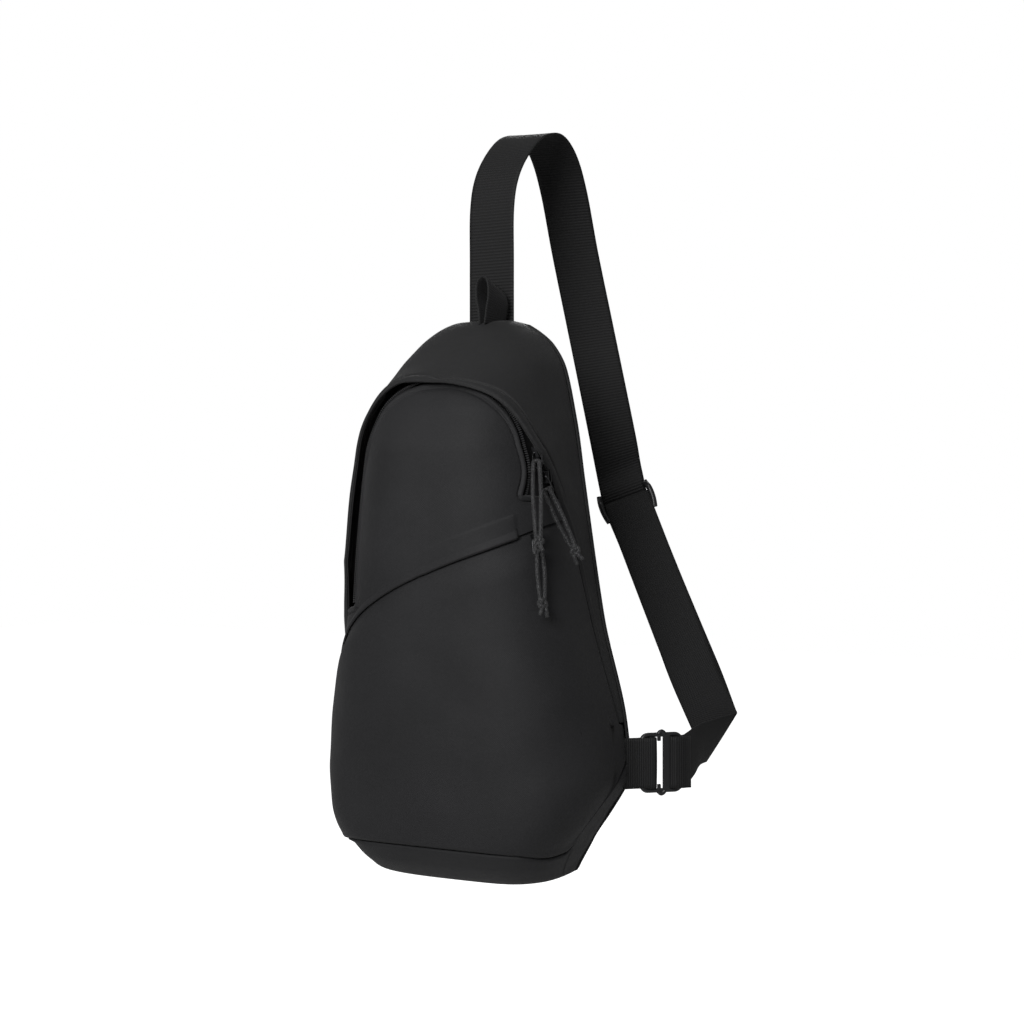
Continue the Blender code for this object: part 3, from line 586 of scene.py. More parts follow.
def hood_place(s, t, sink=0.0):
    """Hood cloth from its front edge (s = 0) to the back seam; t runs round the edge."""
    edge = spline(HOOD_EDGE, t)
    back = spline(HOOD_BACK, t)
    key = edge.lerp(back, s**1.6)
    base = shell_point(key.x, key.y)
    reach = (base - shell_point(edge.x, edge.y)).length
    span = (shell_point(back.x, back.y) - shell_point(edge.x, edge.y)).length
    lifted = rim_lift(t)
    proud = min(lifted / RIM_LIFT, 1.0)
    height = lifted * max(1 - reach / 46, 0.0)**2
    ridge = 0.9 * hump(reach, 3.8, 3.0)
    groove = 1.5 * hump(reach, 8.4, 1.0)
    height += proud * (ridge - groove)
    height -= proud * 1.1 * hump(reach, 0, 0.9)
    place = 18 * t
    cheek = sum(high * hump(place, at, wide) for high, at, wide in CHEEKS)
    height += cheek * hump(reach, 12, 10)
    seam = (1 - proud) * hump(reach, 0, 1.3)
    height -= 1.5 * seam
    height += (1 - proud) * 0.35 * smooth(reach, 1.5, 3.0) * (1 - smooth(reach, 3.0, 6.0))
    free = smooth(reach, 5, 30) * smooth(span - reach, 0, 18)
    height += free * (wobble(base, 62, 2.6, 3.0) + wobble(base, 27, 0.8, 9.0))
    height -= 0.8 * hump(span - reach, 0, 1.5)
    return shell(key.x, key.y, height - sink)


def cloth_uv(place):
    """Cloth coordinates from the developed width and height of a place."""
    def value(s, t):
        angle, z = place(s, t)
        return angle_to_u(angle), z
    return value


def hood_key(s, t):
    key = spline(HOOD_EDGE, t).lerp(spline(HOOD_BACK, t), s**1.6)
    return key.x, key.y


hood = grid_piece("hood", hood_place, count(104), count(420), HOOD_CLOTH, 1.3, cloth_uv(hood_key))
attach(hood, "bag")
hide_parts("hood_panel")
hem = grid_piece("hood_hem", lambda s, t: hood_place(0.02 + 0.2 * s, RIM_FIRST + 0.01
                 + (RIM_LAST - RIM_FIRST - 0.02) * t, 1.6), 6, count(240), HEM, 1.0,
                 lambda s, t: (s * 9, t * 420))
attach(hem, "bag")
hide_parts("hood_hem_facing")

# ---------------------------------------------------------------- the lobe inside the arch
LOBE_INSET = 4.4
LOBE_GROWTH = make_curve([(-9, 0), (10, 0), (20, 0.6), (30, 2.6), (45, 4.9), (60, 5.4), (75, 5.2),
                          (90, 5.4), (105, 6.3), (116, 6.6), (130, 5.2), (140, 2.0), (150, -0.8),
                          (160, -1.8), (181, -1.6)])


def lobe_outline():
    """Places round the lobe as (angle, height, bound), from the zip's right end leftwards."""
    route = []
    for k in range(0, 190, 3):
        turn = -9 + k
        radius = ARCH_RADIUS - LOBE_INSET + LOBE_GROWTH(turn)
        x = ARCH_CENTRE.x + radius * math.cos(math.radians(turn))
        z = ARCH_CENTRE.z + radius * math.sin(math.radians(turn))
        route.append((angle_at(x, z), z, 1.0))
    start = ARCH_CENTRE.x - (ARCH_RADIUS - LOBE_INSET) + 1.6
    for f in (0.2, 0.4, 0.6, 0.8, 1.0):
        x = start + (LEG_BOTTOM[0] + LOBE_INSET - start) * f
        z = 300 + (LEG_BOTTOM[1] - 300) * f
        route.append((angle_at(x, z), z, 1.0))
    route += [(150.5, 201, 0.6), (157, 187, 0.6), (162.5, 173, 0.6), (166, 161, 0.6)]
    route += [(a, pocket_line(a) + 0.6, 0.0) for a in range(163, 14, -4)]
    route += [(14.2, 272, 0.0), (14.6, 279, 0.0), (15.2, 286, 0.0), (20, 288, 0.0)]
    return route


def resample(points, number):
    """Points spread evenly round a closed outline."""
    closed = points + [points[0]]
    reach = [0.0]
    for a, b in zip(closed, closed[1:]):
        reach.append(reach[-1] + math.dist(a[:2], b[:2]))
    out = []
    for k in range(number):
        at = reach[-1] * k / number
        cell = min(bisect.bisect_right(reach, at) - 1, len(points) - 1)
        f = (at - reach[cell]) / max(reach[cell + 1] - reach[cell], 1e-9)
        a, b = closed[cell], closed[cell + 1]
        out.append(tuple(p + (q - p) * f for p, q in zip(a, b)))
    return out


OUTLINE = resample([(angle_to_u(a), z, bound) for a, z, bound in lobe_outline()], count(480))
LOBE_MIDDLE = (30.0, 250.0)


def front_height(angle, z):
    """Soft shape of the filled front: gentle folds in the cloth."""
    place = shell_point(angle, z)
    return wobble(place, 78, 2.4, 1.0) + wobble(place, 31, 0.8, 5.0)


FREE_SPOTS = [k for k, spot in enumerate(OUTLINE) if spot[2] <= 0.3]
SIDE_SPOTS = OUTLINE[FREE_SPOTS[-1] + 1:] + OUTLINE[:FREE_SPOTS[0]]
BOUND_ROUTE = numpy.array([p[:2] for p in SIDE_SPOTS if p[2] > 0.8])
SIDE_ROUTE = numpy.array([p[:2] for p in SIDE_SPOTS])
FREE_ROUTE = numpy.array([OUTLINE[k][:2] for k in FREE_SPOTS])


def distance_to(route, u, z):
    """Shortest way from a place to a line through points."""
    start = route[:-1]
    step = route[1:] - start
    away = numpy.array((u, z)) - start
    along = numpy.clip((away * step).sum(1) / numpy.maximum((step * step).sum(1), 1e-9), 0, 1)
    gap = away - step * along[:, None]
    return math.sqrt((gap * gap).sum(1).min())


# Below the zip's left end the lobe turns a corner into a tail, so rays there bend at its waist.
TAIL_FIRST = max(k for k in range(FREE_SPOTS[0]) if OUTLINE[k][2] > 0.9999)
TAIL_LAST = min(k for k in FREE_SPOTS if OUTLINE[k][0] < OUTLINE[TAIL_FIRST][0])


def lobe_key(s, t):
    """Cloth place from the lobe's outline (s = 0) to its middle, on ray t."""
    spot = round(t * len(OUTLINE)) % len(OUTLINE)
    edge = Vector(OUTLINE[spot][:2])
    waist = edge
    if TAIL_FIRST <= spot <= TAIL_LAST:
        share = (spot - TAIL_FIRST) / (TAIL_LAST - TAIL_FIRST)
        waist = Vector(OUTLINE[TAIL_FIRST][:2]).lerp(Vector(OUTLINE[TAIL_LAST][:2]), share)
    middle = Vector(LOBE_MIDDLE)
    tail = (waist - edge).length
    walked = (tail + (middle - waist).length) * s**1.5
    if walked < tail:
        here = edge.lerp(waist, walked / tail)
    else:
        here = waist.lerp(middle, (walked - tail) / (middle - waist).length)
    return here.x, here.y


def lobe_height(u, z):
    """Height of the lobe's cloth: soft fill, bound edge with its groove, and the welt's step."""
    angle = u_to_angle(u)
    bound = distance_to(BOUND_ROUTE, u, z)
    side = max(distance_to(SIDE_ROUTE, u, z), 0.01)
    free = max(distance_to(FREE_ROUTE, u, z), 0.01)
    depth = (side**-3 + free**-3)**(-1 / 3)
    here = smooth(free, 1.0, 6.0) * (1 - smooth(bound - side, 0.5, 4.0))
    height = -1.7 * hump(side, 0, 0.9)
    height += here * 1.1 * hump(bound, 2.4, 1.8)
    height -= here * 1.5 * hump(bound, 5.0, 0.6)
    height += smooth(depth, 5, 40) * front_height(angle, z)
    height += 1.4 * smooth(depth, 2, 40)
    welted = smooth(angle, 46, 47.5) * (1 - smooth(angle, 62, 96))
    return height + 0.9 * welted * (1 - smooth(free, 14.2, 15.6))


def lobe_place(s, t):
    u, z = lobe_key(s, t)
    return shell(u_to_angle(u), z, lobe_height(u, z))


def disc_piece(name, place, key, rows, cols, material, thickness):
    """Closed rings of place(s, t) shrinking to a middle point."""
    bm = bmesh.new()
    layer = bm.loops.layers.uv.new("cloth")
    rings = []
    for i in range(rows):
        s = i / rows
        rings.append([(bm.verts.new(world(place(s, j / cols))), key(s, j / cols))
                      for j in range(cols)])
    tip = (bm.verts.new(world(place(1.0, 0.0))), key(1.0, 0.0))
    faces = []
    for near, far in zip(rings, rings[1:]):
        for j in range(cols):
            k = (j + 1) % cols
            faces.append((near[j], near[k], far[k], far[j]))
    for j in range(cols):
        faces.append((rings[-1][j], rings[-1][(j + 1) % cols], tip))
    for corners in faces:
        face = bm.faces.new([c[0] for c in corners])
        face.smooth = True
        for loop, corner in zip(face.loops, corners):
            loop[layer].uv = Vector(corner[1]) * MM
    bm.normal_update()
    bm.faces.ensure_lookup_table()
    if bm.faces[len(bm.faces) // 2].normal.y > 0:
        bmesh.ops.reverse_faces(bm, faces=bm.faces)
    made = link_bmesh(name, bm, material)
    thicken(made, thickness)
    return made


lobe = disc_piece("lobe", lobe_place, lobe_key, count(100), len(OUTLINE), CLOTH, 1.3)
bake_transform(lobe)
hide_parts("front_flap", "lower_lobe_panel", "flap_piping")

# ---------------------------------------------------------------- front pocket, welt and base
LOOK_BASE = make_curve([(0, 92), (3, 84), (5.6, 74), (7.0, 52), (8.4, 31), (12, 27.5), (25, 27),
                        (60, 31), (90, 32), (120, 31), (155, 27), (168, 30), (173, 45), (180, 60)])


def front_key(z, t):
    right = 0.1 if z < 120 else side_seam(z) + 0.05
    left = 179.9 if z < 120 else left_seam(z) - 0.05
    return right + (left - right) * t


def column_height(curve, t, start):
    z = start
    for _ in range(14):
        z = (z + curve(front_key(z, t))) / 2
    return z


POCKET_COLUMNS = {}


def pocket_key(s, t):
    """Angle and height from the base seam (s = 0) up under the lip, in column t."""
    if t not in POCKET_COLUMNS:
        POCKET_COLUMNS[t] = (column_height(LOOK_BASE, t, 40.0), column_height(pocket_line, t, 220.0))
    low, high = POCKET_COLUMNS[t]
    z = low + 0.3 + (high + 5.0 - low - 0.3) * s
    return front_key(min(z, high), t), z


def pocket_place(s, t):
    angle, z = pocket_key(s, t)
    low, high = POCKET_COLUMNS[t]
    from_base = z - low
    from_side = min(t, 1 - t) * 260
    under = high - z
    height = -1.4 * hump(from_base, 0, 1.1) - 1.3 * hump(from_side, 0, 1.2)
    height += 0.45 * hump(from_base, 3.2, 1.8)
    tuck = 1 - 0.8 * smooth(angle, 148, 164)
    height -= tuck * (2.6 * (1 - smooth(under, -2.0, 3.0)) + 0.8 * (1 - smooth(under, 0, 14)))
    free = smooth(from_base, 2, 30) * smooth(from_side, 2, 26) * smooth(under, 4, 26)
    height += free * (front_height(angle, z) + 1.6)
    return shell(angle, z, height)


pocket = grid_piece("front_pocket", pocket_place, count(110), count(260), CLOTH, 1.3,
                    cloth_uv(pocket_key))
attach(pocket, "bag")
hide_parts("front_pocket_panel")


def welt_key(s, t):
    angle = 46.5 + 116.0 * t
    return angle, pocket_line(angle) - 1.3 + 8.0 * s


def welt_place(s, t):
    """Lip of the flap over the pocket zip, blended into the lobe above it."""
    angle, z = welt_key(s, t)
    above = 8.0 * s
    ground = lobe_height(angle_to_u(angle), max(z, pocket_line(angle) + 2.0))
    lip = 1.5 * (1 - smooth(s, 0.1, 0.9)) - 0.25 * smooth(s, 0.6, 1.0)
    lip -= 1.0 * hump(above, 0, 0.7) + 1.2 * smooth(t, 0.93, 1.0)
    return shell(angle, z, ground + lip)


welt = grid_piece("pocket_lip", welt_place, count(24), count(200), CLOTH, 1.0, cloth_uv(welt_key))
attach(welt, "bag")
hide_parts("pocket_welt")

pocket_tape = grid_piece("pocket_tape", lambda s, t: shell(20 + 125 * t, pocket_line(20 + 125 * t)
                         - 8 + 15 * s, -2.9), 4, count(120), SHADOW_CLOTH, 0.8,
                         lambda s, t: (t * 220, s * 15))
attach(pocket_tape, "bag")
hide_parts("pocket_zip_tape", "pocket_zip_coil")


FLOOR_SHARE = 0.3
FLOOR_LEVEL = 0.3
CORNER_SEAM = 7.8
CORNER_TOP = 27


def base_key(s, t):
    """Under the bag for the first share of s, then up to the seam round the front."""
    angle = 180 * t
    if s < FLOOR_SHARE:
        return angle, FLOOR_LEVEL
    rise = ((s - FLOOR_SHARE) / (1 - FLOOR_SHARE))**1.2
    return angle, FLOOR_LEVEL + (LOOK_BASE(angle) - 2 * FLOOR_LEVEL) * rise


def base_place(s, t):
    angle, z = base_key(s, t)
    if s < FLOOR_SHARE:
        rim = shell_point(angle, FLOOR_LEVEL)
        return Vector((0, -17, FLOOR_LEVEL)).lerp(rim, s / FLOOR_SHARE)
    gap = LOOK_BASE(angle) - z
    height = -1.4 * hump(gap, 0, 1.1)
    if z < CORNER_TOP:
        height -= 0.8 * hump(angle, CORNER_SEAM, 0.5)
    height -= 6.0 * smooth(angle, 112, 150) * smooth(gap, 0.0, 4.0) * smooth(z, 2, 14)
    height += wobble(shell_point(angle, z), 30, 0.9, 7.0) * smooth(gap, 2, 14) * smooth(z, 0, 8)
    return shell(angle, z, height)


def base_uv(s, t):
    place = base_place(s, t)
    return place.x + 300, place.z - place.y


base = grid_piece("base", base_place, count(56), count(260), CLOTH, 1.3, base_uv)
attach(base, "bag")
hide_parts("base_front_panel", "base_board")

# ---------------------------------------------------------------- zip bed, tape and teeth
ARCH_SHARE = 0.72


def arch_route(f, radius):
    """Front view place along the zip: f 0 at its right end, 1 at the leg's foot."""
    if f < ARCH_SHARE:
        turn = math.radians(-10 + 190 * f / ARCH_SHARE)
        return ARCH_CENTRE.x + radius * math.cos(turn), ARCH_CENTRE.z + radius * math.sin(turn)
    g = (f - ARCH_SHARE) / (1 - ARCH_SHARE)
    x = ARCH_CENTRE.x - radius
    return x + (LEG_BOTTOM[0] + ARCH_RADIUS - radius - x) * g, 300 - 96 * g


def bed_key(s, t):
    x, z = arch_route(t, ARCH_RADIUS - 9 + 24 * s)
    return angle_at(x, z), z


bed = grid_piece("zip_bed", lambda s, t: shell(*bed_key(s, t), -4.2), 6, count(200), SHADOW_CLOTH, 0.8,
                 lambda s, t: (t * 380, s * 24))
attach(bed, "bag")
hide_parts("hood_zip_tape", "zip_leg", "pocket_divider")


TOOTH_SIZE = (1.5, 0.8, 1.2)
TOOTH_PITCH = 1.45


def tooth(bm, centre, across, along, out, size):
    half = [axis * length / 2 for axis, length in zip((across, along, out), size)]
    verts = []
    for a in (-1, 1):
        for b in (-1, 1):
            for c in (-1, 1):
                verts.append(bm.verts.new(world(centre + half[0] * a + half[1] * b + half[2] * c)))
    for ids in ((0, 1, 3, 2), (4, 6, 7, 5), (0, 4, 5, 1), (2, 3, 7, 6), (0, 2, 6, 4), (1, 5, 7, 3)):
        bm.faces.new([verts[i] for i in ids])


def teeth_piece(name, outset, rise, first, last):
    """Zip teeth along the lobe's bound edge, as far outside it as outset."""
    bm = bmesh.new()
    spots = []
    middle = numpy.array((0.0, 300.0))
    for near, far in zip(BOUND_ROUTE, BOUND_ROUTE[1:]):
        step = far - near
        side = numpy.array((step[1], -step[0])) / max(math.hypot(*step), 1e-6)
        if (near - middle) @ side < 0:
            side = -side
        spots.append(near + side * outset)
    walked = TOOTH_PITCH
    for k in range(int(first * len(spots)), int(last * len(spots)) - 1):
        walked += math.dist(spots[k], spots[k + 1])
        if walked < TOOTH_PITCH:
            continue
        walked -= TOOTH_PITCH
        here = shell(u_to_angle(spots[k][0]), spots[k][1], rise)
        ahead = shell(u_to_angle(spots[k + 1][0]), spots[k + 1][1], rise)
        outward = (shell(u_to_angle(spots[k][0]), spots[k][1], rise + 2) - here).normalized()
        along = (ahead - here).normalized()
        tooth(bm, here, along.cross(outward), along, outward, TOOTH_SIZE)
    bmesh.ops.recalc_face_normals(bm, faces=bm.faces)
    return link_bmesh(name, bm, TEETH)


outer_teeth = teeth_piece("zip_teeth_outer", 3.0, -2.6, 0.02, 0.98)
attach(outer_teeth, "bag")
inner_teeth = teeth_piece("zip_teeth_inner", 1.7, 0.3, 0.06, 0.995)
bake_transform(inner_teeth)
flap_tape = grid_piece("flap_tape", lambda s, t: zip_point(ARCH_RADIUS - 5 - 5 * s, 36 + 136 * t, -1.2),
                       3, count(120), SHADOW_CLOTH, 0.8, lambda s, t: (t * 180, s * 7))
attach(flap_tape, "flap")
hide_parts("flap_zip_tape")

# ---------------------------------------------------------------- back pad and lining
WRAP_SHARE = 0.12
PAD_GROOVES = (150.0, 285.0)


def back_place(s, t):
    """Padded back: s from the outline at the front plane, over the edge, to the middle."""
    heights = 2 * math.pi * t
    level = 213 + 206 * math.sin(heights - math.pi / 2)
    side = 1 if t < 0.5 else -1
    reach = half_right(level) if side > 0 else half_width(level)
    rim = Vector((side * max(reach - 0.8, 0.5), 0.6, level))
    if s < WRAP_SHARE:
        return rim + Vector((0, 6.0 * s / WRAP_SHARE, 0))
    f = (s - WRAP_SHARE) / (1 - WRAP_SHARE)
    inner = Vector((0, 0, min(max(level, 60), 360)))
    flat = rim.lerp(inner, f)
    depth = (flat - rim).length
    rise = 6.6 + 4.6 * (1 - math.exp(-depth / 14))
    groove = 0.0
    for line in PAD_GROOVES:
        groove += 2.2 * hump(flat.z, line, 5.0) * smooth(depth, 4, 14)
    return Vector((flat.x, rise - groove, flat.z))


back = grid_piece("back_pad", back_place, count(50), count(240), CLOTH, 0.0,
                  lambda s, t: (back_place(s, t).x + 600, back_place(s, t).z), closed=True)
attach(back, "bag")
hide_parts("back_panel", "back_foam")
lining = grid_piece("inner_lining", lambda s, t: Vector(((2 * t - 1) * (half_right(12 + 404 * s) - 5),
                    -1.2, 12 + 404 * s)), count(40), 12, LINING, 0.5,
                    lambda s, t: (t * 200, s * 400))
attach(lining, "bag")
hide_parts("back_lining")


def binding_points():
    levels = [3 + 421 * k / 90 for k in range(91)]
    right = [Vector((half_right(z) + 0.2, -0.2, z)) for z in levels]
    left = [Vector((-half_width(z) - 0.2, -0.2, z)) for z in reversed(levels)]
    return right + left


binding = curve_piece("back_binding", binding_points(), 1.8, HEM, True, 3)
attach(binding, "bag")

# ---------------------------------------------------------------- straps
STRAP_KEYS = [(0, 3, 419, 1, 0, 0), (0, 3, 470, 1, 0, 0), (0, 3.5, 512, 1, 0, 0),
              (1, 10, 538, 1, 0.03, 0), (3, 26, 560, 1, 0.08, 0), (4, 50, 577, 1, 0.15, 0),
              (5, 78, 583, 0.98, 0.22, 0), (5.6, 102, 572, 0.95, 0.3, 0.03),
              (7.2, 119, 545, 0.92, 0.38, 0.06), (12.2, 131, 495, 0.90, 0.43, 0.09),
              (23.2, 136, 436, 0.885, 0.45, 0.13), (35, 138, 379, 0.87, 0.45, 0.17),
              (44.4, 139, 334, 0.855, 0.44, 0.24)]
ADJUSTER_AT = Vector((56.7, 138.0, 284.5))
ALONG = Vector((0.42, -0.112, -0.888)).normalized()
ACROSS = Vector((0.837, 0.427, 0.342)).normalized()
ACROSS = (ACROSS - ALONG * ACROSS.dot(ALONG)).normalized()
OUT = ALONG.cross(ACROSS)
if OUT.y > 0:
    OUT = -OUT
# The strap turns over on a slanting crease at its foot, so its width there is longer.
CREASE_AT = Vector((147.0, 118.0, 96.8))
CREASE = Vector((0.572, 0.2915, 1.018))
WIDTH = 38.0


def width_key(centre, side, stretch=1.0):
    return (*centre, *(Vector(side).normalized() * stretch))


def ribbon_piece(name, keys, width, thickness, rows, material, ends=(0.0, 1.0), cols=14):
    """Webbing through keys (centre and width direction): rounded edges, true length in its UVs."""
    bm = bmesh.new()
    layer = bm.loops.layers.uv.new("cloth")
    samples = [spline(keys, ends[0] + (ends[1] - ends[0]) * k / rows) for k in range(rows + 1)]
    centres = [Vector(s[:3]) for s in samples]
    reach = [0.0]
    for a, b in zip(centres, centres[1:]):
        reach.append(reach[-1] + (b - a).length)
    rings = []
    half = thickness / 2
    section = [(-1 + 2 * k / cols, half) for k in range(cols + 1)]
    section.append((1.0 + half / width, 0.0))
    section += [(1 - 2 * k / cols, -half) for k in range(cols + 1)]
    section.append((-1.0 - half / width, 0.0))
    for k, sample in enumerate(samples):
        side = Vector(sample[3:])
        a = centres[max(k - 1, 0)]
        b = centres[min(k + 1, rows)]
        normal = (b - a).cross(side).normalized()
        ring = []
        for x, h in section:
            cup = 0.25 * x * x
            ring.append(bm.verts.new(world(centres[k] + side * x * width / 2 + normal * (h - cup))))
        rings.append(ring)
    size = len(section)
    for i in range(rows):
        for j in range(size):
            k = (j + 1) % size
            face = bm.faces.new((rings[i][j], rings[i + 1][j], rings[i + 1][k], rings[i][k]))
            face.smooth = True
            for loop, (row, col) in zip(face.loops, ((i, j), (i + 1, j), (i + 1, k), (i, k))):
                loop[layer].uv = (section[col][0] * width / 2 * MM, reach[row] * MM)
    bm.faces.new(list(reversed(rings[0])))
    bm.faces.new(rings[-1])
    bmesh.ops.recalc_face_normals(bm, faces=bm.faces)
    return link_bmesh(name, bm, material)


strap_keys = [width_key(k[:3], k[3:]) for k in STRAP_KEYS]
for ahead, shift, lift in ((-30, 3.6, 0.5), (-15, 1.2, 0.5), (-6, 0.0, -1.5), (1, 0.0, -5.0),
                           (10, 0.0, -5.5), (36, 0.6, -2.5), (75, 0.8, 0.0), (125, 1.8, 0.0),
                           (160, 2.6, 0.0)):
    centre = ADJUSTER_AT + ALONG * ahead + ACROSS * shift + back_off * lift
    strap_keys.append(width_key(centre, ACROSS))
strap_keys.append((*(CREASE_AT - OUT * 1.0), *CREASE))
strap = ribbon_piece("strap", strap_keys, WIDTH, 1.6, count(460), WEB)
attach(strap, "bag")
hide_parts("shoulder_strap")

# The front layer wraps the adjuster's middle bar and runs down to the crease.
plate_at = ADJUSTER_AT + OUT * 4.7
leg_keys = []
for degrees in (215, 180, 150, 120, 90, 60, 30, 0):
    a = math.radians(degrees)
    leg_keys.append(width_key(plate_at + (OUT * math.cos(a) - ALONG * math.sin(a)) * 2.8, ACROSS))
for ahead, lift in ((6, 7.9), (14, 7.8), (40, 6.4), (75, 4.8), (125, 3.8), (160, 3.0)):
    leg_keys.append(width_key(ADJUSTER_AT + ALONG * ahead + OUT * lift, ACROSS))
leg_keys.append((*(CREASE_AT + OUT * 1.6), *CREASE))
return_leg = ribbon_piece("strap_second_layer", leg_keys, WIDTH, 1.5, count(260), LOWER_WEB)
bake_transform(return_leg)
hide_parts("strap_return_leg", "adjuster_loop")


def rounded_outline(width, height, radius, steps=6):
    x = width / 2 - radius
    y = height / 2 - radius
    points = []
    for cx, cy, start in ((x, y, 0), (-x, y, 90), (-x, -y, 180), (x, -y, 270)):
        for k in range(steps + 1):
            a = math.radians(start + 90 * k / steps)
            points.append((cx + radius * math.cos(a), cy + radius * math.sin(a)))
    return points


# Adjuster: its top bar lies behind the upper strap, so only the side rails show.
def frame_depth(y):
    return -7.9 * smooth(y, 4.5, 11.0)


frame_points = [plate_at + ACROSS * x + ALONG * -y + OUT * frame_depth(y)
                for x, y in rounded_outline(42.0, 25, 6)]
rim = curve_piece("adjuster_rim", frame_points, 2.6, PLASTIC, True, 6)
middle = curve_piece("adjuster_middle", [plate_at - ACROSS * 21.5, plate_at + ACROSS * 21.5], 2.4,
                     PLASTIC, False, 6)
rails = []
for hand in (-1, 1):
    points = []
    for y in [-12.5 + 1.25 * k for k in range(21)]:
        bow = 19.0 + 2.6 * math.cos(y / 9.5)**0.8
        points.append(plate_at + ACROSS * hand * bow + OUT * (1.4 + frame_depth(y) * 0.6)
                      - ALONG * y)
    rails.append(curve_piece(f"adjuster_rail_{hand + 1}", points, 4.8, PLASTIC, False, 6))
adjuster = join("strap_slider", [rim, middle, *rails])
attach(adjuster, "adjuster")
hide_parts("strap_adjuster")

# ---------------------------------------------------------------- side tab, buckle and strap end
TAB_AT = Vector((117.0, 1.0, 90.0))
REACH = Vector((0.75, 0.66, 0)).normalized()
UP = Vector((0, 0, 1))
FACE = REACH.cross(UP)
BAR_AT = TAB_AT + REACH * 11.4
TAB_LOOP = BAR_AT + REACH * 5.6
END_LOOP = BAR_AT + REACH * 24.0
END_ROUTE = [(3.0, 8, 0.2, 0, 0, 1), (1.5, 22, 0.3, 0, 0, 1), (0, 45, 3.2, 0.05, 0.12, 0.97),
             (-0.5, 70, 5.7, 0.295, 0.15, 0.995)]


def bar_loop(centre, way, radius, spread, far, steps=10):
    turn = []
    for k in range(steps + 1):
        a = math.pi * (0.5 - k / steps)
        turn.append(centre + way * math.cos(a) * radius + FACE * math.sin(a) * radius)
    first, last = turn[0], turn[-1]
    return ([p + FACE * spread for p in far] + [first - way * 0.5] + turn[1:-1]
            + [last - way * 0.5] + [p - FACE * spread for p in reversed(far)])


tab_path = bar_loop(TAB_LOOP, REACH, 3.4, 0.9, [TAB_AT - REACH * 5, TAB_AT + REACH * 7])
tab = ribbon_piece("side_webbing", [(*p, *UP) for p in tab_path], WIDTH - 0.8, 1.3, count(120),
                   TAB_WEB)
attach(tab, "bag")
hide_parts("side_tab")

buckle_parts = []
outline = [BAR_AT + REACH * (13.0 + x) + UP * y for x, y in rounded_outline(31.0, 41.6, 5.0)]
buckle_parts.append(curve_piece("buckle_rim", outline, 3.4, PLASTIC, True, 6))


def flat_bar(name, at, size):
    bm = bmesh.new()
    tooth(bm, at, REACH, UP, FACE, size)
    bmesh.ops.recalc_face_normals(bm, faces=bm.faces)
    made = link_bmesh(name, bm, PLASTIC)
    soften = made.modifiers.new("soften", "BEVEL")
    soften.width = 0.7 * MM
    soften.segments = 3
    return made


buckle_parts.append(flat_bar("buckle_bar", BAR_AT + REACH * 17.0 + FACE * 0.4, (5.6, 40.6, 2.6)))
buckle_parts.append(flat_bar("buckle_inner_bar", TAB_LOOP, (3.6, 40.6, 2.2)))
buckle_parts.append(flat_bar("buckle_outer_bar", END_LOOP + REACH * 0.5,
                             (3.6, 40.6, 2.2)))
for end in (-1, 1):
    knuckle = [BAR_AT + REACH * (10.5 + k * 0.5) + FACE * 0.8
               + UP * end * (21.2 + 1.9 * math.sin(math.pi * k / 10)) for k in range(11)]
    buckle_parts.append(curve_piece(f"buckle_knuckle_{end + 1}", knuckle, 3.4, PLASTIC, False, 6))
    nub = BAR_AT + REACH * 11.2 + UP * end * 18.2 + FACE * 0.4
    buckle_parts.append(flat_bar(f"buckle_nub_{end + 1}", nub, (2.6, 4.4, 2.4)))
buckle = join("side_ring_body", buckle_parts)
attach(buckle, "side_ring")
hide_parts("side_buckle")

# Strap end: a short front layer stitched over the layer that runs back to the crease.
front_end = [(*(END_LOOP + REACH * x + FACE * h), *UP)
             for x, h in ((11.5, 2.7), (8.0, 2.9), (4.0, 3.9))]
loop_keys = [(*p, *UP) for p in bar_loop(END_LOOP, -REACH, 4.2, 0.0, [])]
end_keys = front_end + loop_keys + [width_key(END_LOOP + Vector(q[:3]) + FACE * 0.6, q[3:])
                                    for q in END_ROUTE]
end_keys.append((*(CREASE_AT + OUT * 0.4), *CREASE))
strap_end = ribbon_piece("strap_end_fold", end_keys, WIDTH, 1.3, count(260), TAB_WEB)
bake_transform(strap_end)
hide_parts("strap_end")

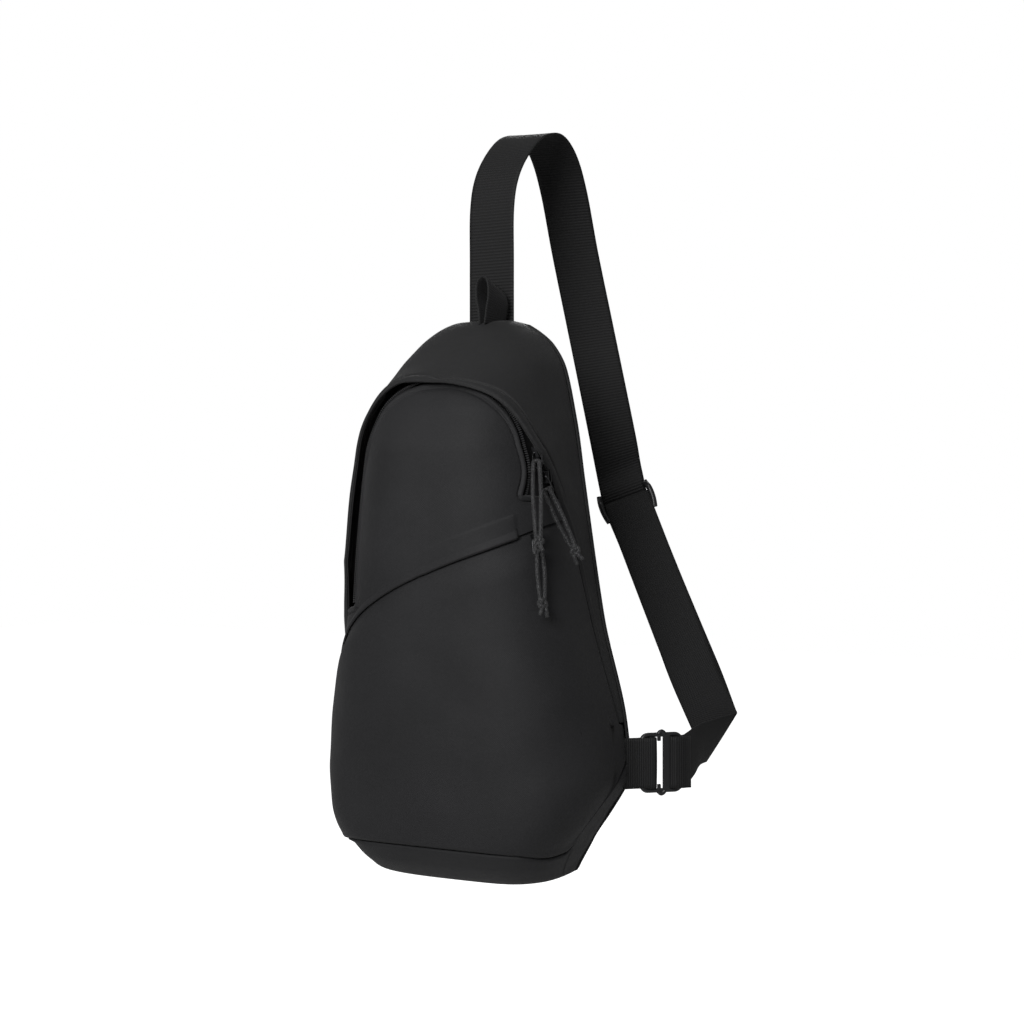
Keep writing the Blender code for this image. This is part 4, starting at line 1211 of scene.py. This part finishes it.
# ---------------------------------------------------------------- grab loop
GRAB_AT = Vector((8.0, -13.5, 422.0))
HOLE = Vector((-0.3, -0.95, 0.0)).normalized()
GRAB_SIDE = Vector((-HOLE.y, HOLE.x, 0))
grab_keys = []
for reach, height, tilt in ((-1.6, -2, 0), (-2.6, 8, 0.05), (-5.4, 18, 0.2), (-5.2, 27.5, 0.4),
                            (0, 32, 0.5), (5.0, 28.5, 0.5), (7.0, 19, 0.35), (5.2, 8, 0.15),
                            (3.4, -2, 0)):
    grab_keys.append(width_key(GRAB_AT + GRAB_SIDE * reach + UP * (height - 11 * tilt / 2),
                               HOLE + UP * tilt))
grab = ribbon_piece("grab_strap", grab_keys, 22.0, 1.4, count(120), GRAB_WEB)
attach(grab, "bag")
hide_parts("grab_loop")

# ---------------------------------------------------------------- hard pieces kept from the frame
for name in ("slider_a", "slider_b", "slider_c", "zip_stop_left", "zip_stop_right"):
    piece = frame["nodes"][name]
    piece.data.materials.clear()
    piece.data.materials.append(SLIDER_METAL)
    edge = piece.modifiers.new("soften", "BEVEL")
    edge.width = 0.35 * MM
    edge.segments = 2

# ---------------------------------------------------------------- stage and light
AMBIENT = 0.16
floor_data = bpy.data.meshes.new("floor")
span = 6.0
floor_z = -0.95
floor_data.from_pydata([(-span, -span, floor_z), (span, -span, floor_z), (span, span, floor_z),
                        (-span, span, floor_z)], [], [(0, 1, 2, 3)])
floor_look, floor_tree, floor_shader = node_material("floor_look")
fill(floor_tree, floor_shader, {
    "Base Color": (0.55, 0.55, 0.55, 1), "Roughness": 0.9, "Emission Color": (1, 1, 1, 1),
    "Emission Strength": add_node(floor_tree, "LightPath", {}, output="Is Camera Ray")})
floor = link("floor", floor_data, floor_look)

sky = bpy.data.worlds.new("studio")
sky.use_nodes = True
bpy.context.scene.world = sky
seen = add_node(sky.node_tree, "LightPath", {}, output="Is Camera Ray")
strength = math_node(sky.node_tree, "MULTIPLY_ADD", seen, 1.0 - AMBIENT, AMBIENT)
fill(sky.node_tree, sky.node_tree.nodes["Background"],
     {"Color": (1, 1, 1, 1), "Strength": strength})
bpy.context.scene.view_settings.view_transform = "Standard"


def area_light(name, place, size, power, aim=(0, -0.12, -0.3)):
    lamp = bpy.data.lights.new(name, "AREA")
    lamp.size = size
    lamp.energy = power
    made = bpy.data.objects.new(name, lamp)
    made.location = place
    made.rotation_euler = (Vector(aim) - Vector(place)).to_track_quat("-Z", "Y").to_euler()
    bpy.context.scene.collection.objects.link(made)


area_light("key", (0.15, -1.9, 0.35), 0.8, 25.5)
area_light("top", (0.1, -0.8, 1.3), 0.8, 5)
area_light("behind", (-0.9, 1.9, 0.7), 0.8, 14)
